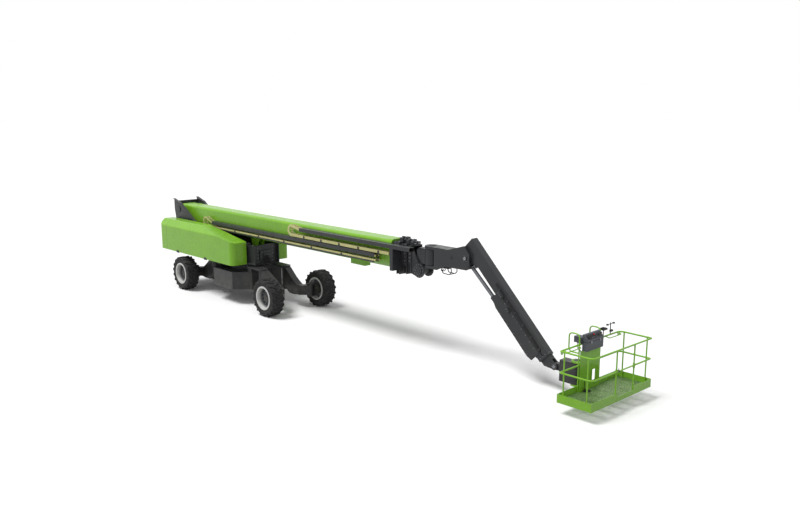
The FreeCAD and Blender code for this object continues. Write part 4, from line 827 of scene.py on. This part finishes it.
def dressRunning():
    # slewing ring screws, pin caps of the legs and knuckles, hub covers
    slewX = running["slewX"]
    parts = screwRing((slewX, 0, running["ringTop"]), upward, running["ringCircle"], running["ringScrews"],
                      screws["slew"])
    for corner in corners:
        ahead = 1 if corner.startswith("front") else -1
        side = 1 if corner.endswith("left") else -1
        hinge, kingpin = ((slewX + ahead * x, side * y, z) for x, y, z in (running["hinge"], running["kingpin"]))
        hub = (kingpin[0], side * running["hubFace"], running["axle"])
        parts += pinCap(hinge, upward, "hinge", chassisPaint)
        gather("knuckle_caps_" + corner, "knuckle_body_" + corner,
               pinCap(kingpin, upward, "kingpin", chassisPaint) + pinCap(hub, (0, side, 0), "hub", chassisPaint))
    gather("chassis_caps", "chassis", parts)


dressRunning()
print("running gear dressed")


turret = {"pivot": (-9.47, 0.52, 2.85), "frontPlate": -4.34, "rowSide": 0.30, "rowLow": 1.46, "rowStep": 0.12,
          "rowCount": 5, "hoseCount": 4, "hoseRight": -0.10, "hoseStep": 0.066}
engine = {"low": (-8.07, -1.07, 1.385), "high": (-6.92, -0.57, 2.085), "filterRadius": 0.115, "ribCount": 9,
          "ribStep": 0.12, "screwCount": 11, "screwStep": 0.10}
cooler = {"x": -8.46, "thick": 0.09, "finCount": 40, "finStep": 0.0155, "fanRadius": 0.22, "fanWall": 0.015,
          "fanDepth": 0.10, "blades": 7, "bladeTilt": 28.0}
tank = {"low": (-7.97, 0.57, 1.385), "high": (-6.27, 1.05, 2.025), "straps": (-7.62, -6.62), "strapHalf": 0.025,
        "strapThick": 0.004}
latch = {"x": (-8.45, -6.42), "side": 1.18, "foot": 1.38,  # layers: half width, outward, upward, finish, edge
         "layers": ((0.095, (-0.018, 0.007), (-0.028, 0.064), blackPlastic, 0.006),
                    (0.060, (0.007, 0.017), (-0.012, 0.042), darkPaint, 0.004))}


def dressTurret():
    # boom pivot caps, front plate screws, a box with a valve and its hoses
    parts = mirrored(pinCap, *turret["pivot"], "boomPivot")
    x = turret["frontPlate"]
    for y in (-turret["rowSide"], turret["rowSide"]):
        parts += screwRow((x, y, turret["rowLow"]), forward, (0, 0, turret["rowStep"]), turret["rowCount"])
    parts += block((x, -0.24, 1.50), (x + 0.05, 0.24, 1.84), darkPaint, edge=0.010)
    parts += valve((x + 0.075, 0.0, 1.70), (0.05, 0.26, 0.09), forward, 1)
    for i in range(turret["hoseCount"]):
        y = turret["hoseRight"] + turret["hoseStep"] * i
        parts += pipe("turretHose", [(x + 0.08, y, 1.66), (x + 0.08, y, 1.56), (x + 0.04, 1.5 * y, 1.44),
                                     (x + 0.012, 1.8 * y, 1.387)])
    gather("turret_fittings", "turret", parts)


def dressEngine():
    # rocker cover, air filter, silencer, ribs and screws
    low, high = Vector(engine["low"]), Vector(engine["high"])
    y, top, radius = (low.y + high.y) / 2, high.z, engine["filterRadius"]
    parts = block((low.x + 0.12, y - 0.14, top), (high.x - 0.25, y + 0.10, top + 0.10), darkPaint, edge=0.02)
    parts += drum(blackPlastic, high.x - 0.40, high.y - 0.07, top + radius + 0.02, (-0.30, 0.26, 0.85 * radius, 32),
                  (0.26, 0.32, radius, 32), (-0.36, -0.30, 0.6 * radius, 32))
    parts += drum(zincSteel, low.x + 0.30, low.y + 0.13, top + 0.12, (-0.26, 0.34, 0.085, 32), (0.34, 0.40, 0.05, 24))
    parts += blockRow((-0.012, -0.010, 0.0), (0.012, 0.0, 0.42), (low.x + 0.09, low.y, low.z + 0.14),
                      (engine["ribStep"], 0, 0), engine["ribCount"], engineMetal)
    parts += screwRow((low.x + 0.06, low.y, top - 0.06), toRight, (engine["screwStep"], 0, 0), engine["screwCount"])
    gather("engine_fittings", "turret", parts + coolerParts(low, high))


def coolerParts(low, high):
    # cooler core with its fins and its fan in a ring
    x, fanX, y, z = cooler["x"], cooler["x"] + cooler["thick"], (low.y + high.y) / 2, (low.z + high.z) / 2
    outer, inner, depth = cooler["fanRadius"], cooler["fanRadius"] - cooler["fanWall"], cooler["fanDepth"]
    parts = block((x, low.y + 0.03, low.z), (fanX, high.y - 0.03, high.z - 0.02), darkPaint, edge=0.006)
    parts += blockRow((-0.004, 0.0, -0.002), (0.0, 0.40, 0.002), (x, low.y + 0.05, low.z + 0.03),
                      (0, 0, cooler["finStep"]), cooler["finCount"], engineMetal)
    parts += moved(turned([(0.0, inner), (0.0, outer), (depth, outer), (depth, inner)], 48, blackPlastic),
                   Matrix.Translation((fanX, y, z)) @ Matrix.Rotation(math.pi / 2, 4, "Y"))
    tilt = Matrix.Rotation(math.radians(cooler["bladeTilt"]), 4, "X")
    parts.append(repeated(unitBlock((0.03, -0.03, -0.004), (0.19, 0.03, 0.004), tilt), ringTree, {
        "Count": cooler["blades"], "Place": (fanX + depth / 2, y, z), "Turn": (0, math.pi / 2, 0),
        "Finish": blackPlastic}))
    return parts


def dressTank():
    # straps, filler cap, screwed lid and level glass
    low, high = Vector(tank["low"]), Vector(tank["high"])
    half, thick, y = tank["strapHalf"], tank["strapThick"], (low.y + high.y) / 2
    parts = []
    for x in tank["straps"]:
        for first in ((x - half, low.y - thick, high.z), (x - half, high.y, low.z)):
            parts += block(first, (x + half, high.y + thick, high.z + thick), zincSteel, edge=0.001)
    parts += capDisc(((low.x + high.x) / 2, y, high.z), upward, 0.07, 0.05, blackPlastic)
    parts += pinCap((low.x + 0.20, y, high.z), upward, "tankLid")
    parts += block((high.x - 0.16, high.y, low.z + 0.20), (high.x - 0.12, high.y + 0.016, high.z - 0.12), zincSteel)
    gather("tank_fittings", "turret", parts)


def dressHood(name, side):
    # two black latches on the lower edge
    parts = []
    for x in latch["x"]:
        for half, outward, rise, finish, edge in latch["layers"]:
            near, far = sorted(side * (latch["side"] + out) for out in outward)
            foot, top = (latch["foot"] + z for z in rise)
            parts += block((x - half, near, foot), (x + half, far, top), finish, edge)
    gather("hood_latches_" + name, name + "_hood", parts)


dressTurret()
dressEngine()
dressTank()
dressHood("right", -1)
dressHood("left", 1)
print("turret dressed")


boom = {"collar": (2.465, 0.32, 3.06), "stages": ((2.765, 0.285, 3.125), (3.015, 0.25, 3.085), (3.165, 0.215, 3.045)),
        "roller": 0.022, "rollerHalf": 0.03, "rollersY": (-0.075, 0.075)}


def dressBoom():
    # pad screws of every section, and the rollers and valves of the moving ones
    x, side, top = boom["collar"]
    parts = mirrored(screwRow, x, side, 2.58, (0, 0, 0.11), 3, "pad")
    parts += screwRow((x, -0.15, top), upward, (0, 0.10, 0), 4, "pad")
    gather("boom_collar_screws", "boom", parts)
    half = boom["rollerHalf"]
    for number, (x, side, top) in enumerate(boom["stages"], 1):
        parts = mirrored(screwRow, x, side, 2.52, (0, 0, 0.10), 4, "pad")
        parts += screwRow((x, -0.10, top), upward, (0, 0.0667, 0), 4, "topPad")
        rollerX, z = x + 0.065, top - 0.05
        for y in boom["rollersY"]:
            parts += bars(zincSteel, ((rollerX, y - half, z), (rollerX, y + half, z), boom["roller"], 20))
        parts += valve((x, -0.055, top + 0.018), (0.10, 0.04, 0.035), toRight, 2)
        gather("section_fittings_%d" % number, "boom_stage_%d" % number, parts)


head = {"pivotX": 3.50, "pivotZ": 2.30, "boss": 0.215, "plate": 0.195, "plateCircle": 0.168, "plateScrews": 12,
        "yokes": (((3.83, 0, 3.02), (0, 0, 1)), ((3.83, 0, 2.415), (0, 0, -1))), "bush": (4.73, 0.20, 2.83),
        "jibPivot": (5.22, 0.22, 2.87), "ear": 0.20, "loops": (4.30, 4.66), "loopSide": 0.11,
        "valve": (4.48, -0.10, 2.52), "valveSize": (0.22, 0.12, 0.055), "hoseCount": 3, "hoseStep": 0.063}


def dressHead():
    # caps of the boom nose; pins, guard loops and valve with hoses of the jib mount
    x, z, side = head["pivotX"], head["pivotZ"], head["loopSide"]
    parts = mirrored(pinCap, x, head["boss"], z, "nose")
    parts += mirrored(screwRing, x, head["plate"], z, head["plateCircle"], head["plateScrews"], screws["plate"])
    gather("nose_caps", "boom_stage_3", parts)
    parts = []
    for centre, outward in head["yokes"]:
        parts += pinCap(centre, outward, "yoke")
    parts += mirrored(capDisc, *head["bush"], 0.050, 0.008, blackPlastic)
    parts += mirrored(pinCap, *head["jibPivot"], "jibPivot", zincSteel, head["jibPivot"][1] - head["ear"])
    rear, front = head["loops"]
    for y in (-side, side):
        parts += pipe("loop", [(rear, y, 2.46), (rear + 0.05, y, 2.345), (front - 0.08, y, 2.335),
                               (front, y, 2.40), (front - 0.02, y, 2.552)], darkPaint, 12)
    parts += pipe("tie", [(front - 0.06, -side, 2.345), (front - 0.06, side, 2.345)], darkPaint)
    parts += valve(head["valve"], head["valveSize"], toRight, 3)
    for i in range(head["hoseCount"]):
        shift = head["hoseStep"] * (i - 1)
        parts += pipe("mountHose", [(4.48 + shift, -0.19, 2.52), (4.48 + shift, -0.215, 2.49),
                                    (4.40 + shift, -0.17, 2.43), (4.30 + 0.4 * shift, -0.10, 2.40)])
    gather("jib_mount_fittings", "jib_mount", parts)


dressBoom()
dressHead()
print("boom and head dressed")


arm = {"pivot": (5.22, 0.0, 2.87), "slope": 45.0, "side": 0.105, "pinFace": 0.1601, "end": (3.578, 0.098, 0.396),
       "hoseCount": 3, "hoseLine": 0.300, "hoseStart": 1.02, "hoseEnd": 3.20, "hoseStep": 0.026, "clampStart": 0.22,
       "clampPitch": 0.36, "rows": (((1.60, 0.117, 0.215), (0.19, 0, 0), 8), ((1.72, 0.117, -0.070), (0.30, 0, 0), 5),
                                    ((3.22, 0.105, 0.19), (0, 0, 0.10), 3))}  # first, step, count


def dressJib():
    # hoses with clamps on the right, valves, guard and mouth screws, drawn along a level arm
    line, start, end, side = arm["hoseLine"], arm["hoseStart"], arm["hoseEnd"], -arm["side"]
    y = side - 0.012
    parts = []
    for i in range(arm["hoseCount"]):
        z, last = line + arm["hoseStep"] * i, end - 0.12 * i
        parts += pipe("armHose", [(start, -0.085, z + 0.02), (start + 0.05, y, z), (last, y, z),
                                  (last + 0.05, -0.06, z - 0.02)])
    for i in range(int((end - start) / arm["clampPitch"])):
        x = start + arm["clampStart"] + arm["clampPitch"] * i
        parts += block((x - 0.018, side - 0.026, line - 0.016), (x + 0.018, side + 0.002, line + 0.068), darkPaint,
                       edge=0.003)
    parts += valve((1.36, -0.150, 0.285), (0.20, 0.055, 0.085), toRight, 3)
    parts += valve((1.78, -0.135, 0.200), (0.14, 0.036, 0.060), toRight, 2)
    for first, step, count in arm["rows"]:
        parts += mirrored(screwRow, *first, step, count)
    parts += mirrored(capDisc, 0.0, arm["pinFace"], 0.0, 0.105, 0.003, darkPaint)
    parts += screwRow((3.22, -0.05, 0.465), upward, (0, 0.05, 0), 3, "mouth")
    onArm = Matrix.Translation(arm["pivot"]) @ Matrix.Rotation(math.radians(arm["slope"]), 4, "Y")
    gather("jib_fittings", "jib", moved(parts, onArm))
    ends = mirrored(pinCap, *arm["end"], "jibEnd", zincSteel)
    gather("jib_end_caps", "jib_extension", moved(ends, onArm))


dressJib()
print("jib dressed")


rams = {"lift": {"base": (-8.57, 0, 1.62), "along": (3.80, 0, 0.24), "length": 3.35, "circle": 0.112, "radius": 0.14,
                 "valve": (0.16, 0.10, 0.08)},
        "jib": {"base": (7.320107, 0, 0.798177), "along": (-0.742257, 0, 0.670115), "length": 1.75, "circle": 0.064,
                "radius": 0.08, "valve": (0.12, 0.07, 0.05)}}


def dressRam(kind, ram):
    # gland screws, valve, pipe and clamps of a cylinder, drawn along X
    along, across = Vector(ram["along"]).normalized(), Vector((0, 1, 0))
    length, radius = ram["length"], ram["radius"]
    level, high = radius + 0.014, radius + ram["valve"][2] / 2 - 0.006
    parts = screwRing((length, 0, 0), forward, ram["circle"], 10, screws["gland"])
    parts += valve((0.24, 0, high), ram["valve"], toRight, 2)
    parts += pipe("ramPipe", [(0.28, 0, high), (0.40, 0, level), (length - 0.12, 0, level),
                              (length - 0.07, 0, radius - 0.004)], zincSteel)
    for i in range(3):
        x = 0.5 + i * (length - 0.8) / 2
        parts += block((x - 0.014, -0.020, radius - 0.004), (x + 0.014, 0.020, radius + 0.026), darkPaint, edge=0.002)
    moved(parts, ownFrame(ram["base"], along, across, along.cross(across)))
    gather(kind + "_ram_fittings", kind + "_cylinder", parts)


for kind, ram in rams.items():
    dressRam(kind, ram)
print("cylinders dressed")


console = {"x": (8.9986, 9.1486), "y": (-0.40, 0.22), "shoulder": 1.55, "top": 1.68, "slopeBack": 0.10,
           "seamDrop": 0.045, "seam": 0.010, "panel": 0.003, "levers": (-0.20, 0.17), "leverHeight": 0.105,
           "stop": (-0.015, 0.030), "buttons": 5, "buttonStep": 0.045, "switches": 3, "switchStep": 0.028}
junction = {"low": (8.7986, -0.44, 1.475), "high": (8.9986, -0.26, 1.615), "inset": 0.026, "glands": 3,
            "glandStep": 0.045}
work = {"rotator": (8.61, 0, 0.895), "foot": (9.0306, -0.36, 0.330), "latch": (9.8117, -0.1575, 0.96),
        "lamp": (8.9783, 0.47, 1.62), "lampRibs": 9, "lampRibStep": 0.0115}


def leverUnit(high):
    # rubber boot with a stem and a knob, up Z
    boot = [(0.0, 0.0), (0.0, 0.034), (0.008, 0.034), (0.013, 0.027), (0.018, 0.028), (0.024, 0.019),
            (0.030, 0.020), (0.038, 0.009), (0.038, 0.0)]
    return turned(boot, 24, blackPlastic, ((0, 0, 0.03), (0, 0, high - 0.02), 0.0055, 12),
                  ((0, 0, high - 0.03), (0, 0, high), 0.016, 16, 0.013))


def buttonUnit(radius, height, finish):
    outline = [(0.0, 0.0), (0.0, radius), (0.75 * height, radius), (height, 0.8 * radius), (height, 0.0)]
    return turned(outline, 20, finish)


def makeControls():
    # panel with levers, stop button, buttons and switches, drawn on a level face
    face, stop = console["panel"], console["stop"]
    units = [(leverUnit(console["leverHeight"]), across, 0.0, face) for across in console["levers"]]
    units += [(buttonUnit(0.012, 0.018, blackPlastic), *stop, face),
              (buttonUnit(0.020, 0.012, redPlastic), *stop, face + 0.016)]
    units += [(buttonUnit(0.009, 0.008, (zincSteel, slatePlastic)[i % 2]), -0.110 + console["buttonStep"] * i, -0.032,
               face) for i in range(console["buttons"])]
    units += [(buttonUnit(0.007, 0.014, zincSteel), 0.055 + console["switchStep"] * i, 0.034, face)
              for i in range(console["switches"])]
    parts = block((-0.285, -0.062, -0.002), (0.285, 0.062, face), blackPlastic)
    for unit, *place in units:
        parts += moved(unit, Matrix.Translation(place))
    return parts


def dressConsole():
    # controls on the sloping face, lid seam, hinges, junction cover, glands and cables
    (rear, front), (right, left) = console["x"], console["y"]
    run, rise = console["slopeBack"], console["top"] - console["shoulder"]
    across, up = Vector((0, 1, 0)), Vector((-run, 0, rise)).normalized()
    middle = (front - run / 2, (right + left) / 2, console["shoulder"] + rise / 2)
    parts = moved(makeControls(), ownFrame(middle, across, up, across.cross(up)))
    seam = console["shoulder"] - console["seamDrop"]
    parts += block((rear + 0.004, right - 0.003, seam), (front + 0.003, left + 0.003, seam + console["seam"]),
                   blackPlastic, edge=0.002)
    for y in (right + 0.14, left - 0.14):
        parts += block((front + 0.001, y - 0.022, seam - 0.028), (front + 0.010, y + 0.022, seam + 0.030), zincSteel,
                       edge=0.002)
    low, high, inset = Vector(junction["low"]), Vector(junction["high"]), junction["inset"]
    x, coverX = low.x + 0.07, low.x - 0.004
    parts += block((coverX, low.y + 0.010, low.z + 0.010), (low.x, high.y - 0.010, high.z - 0.010), blackPlastic,
                   edge=0.002)
    for y in (low.y + inset, high.y - inset):
        parts += screwRow((coverX, y, low.z + inset), (-1, 0, 0), (0, 0, high.z - low.z - 2 * inset), 2, "box")
    for i in range(junction["glands"]):
        y, drop = low.y + junction["glandStep"] * (i + 1), 0.03 * i
        parts += bars(blackPlastic, ((x, y, low.z), (x, y, low.z - 0.022), 0.013, 6), angle=0)
        parts += pipe("cable", [(x, y, low.z - 0.02), (x, y, 1.34 - drop), (rear - 0.012, y + 0.03, 1.22 - drop),
                                (rear - 0.012, y + 0.03, 0.62)])
    gather("console_fittings", "platform", parts)


def dressPlatform():
    # rotator cap, lamp glass with its ribs, foot switch and gate latch
    gather("rotator_cap", "platform", pinCap(work["rotator"], upward, "rotator"))
    x, y, z = work["lamp"]
    parts = block((x - 0.050, y - 0.065, z - 0.006), (x + 0.050, y + 0.065, z + 0.001), slatePlastic, edge=0.003)
    parts += blockRow((-0.002, -0.060, 0.0), (0.002, 0.060, 0.010), (x - 0.046, y, z + 0.039),
                      (work["lampRibStep"], 0, 0), work["lampRibs"], blackPlastic)
    gather("lamp_fittings", "platform", parts)
    x, y, z = work["foot"]
    parts = block((x, y, z), (x + 0.135, y + 0.17, z + 0.012), darkPaint, edge=0.003)
    parts += block((x + 0.02, y + 0.02, z + 0.012), (x + 0.125, y + 0.15, z + 0.040), blackPlastic, edge=0.010)
    y += 0.085
    parts += pipe("footCable", [(x + 0.02, y, z + 0.024), (x - 0.006, y, z + 0.05), (x - 0.006, y, z + 0.30)])
    gather("foot_switch", "platform", parts)
    x, y, z = work["latch"]
    gather("gate_latch", "gate", bars(
        blackPlastic, ((x, y - 0.0225, z), (x, y + 0.0225, z), 0.024, 20),
        ((x, y, z + 0.018), (x, y, z + 0.052), 0.006, 12), ((x, y, z + 0.045), (x, y, z + 0.062), 0.011, 16)))


dressConsole()
dressPlatform()
print("platform dressed")

print("all pieces ready")
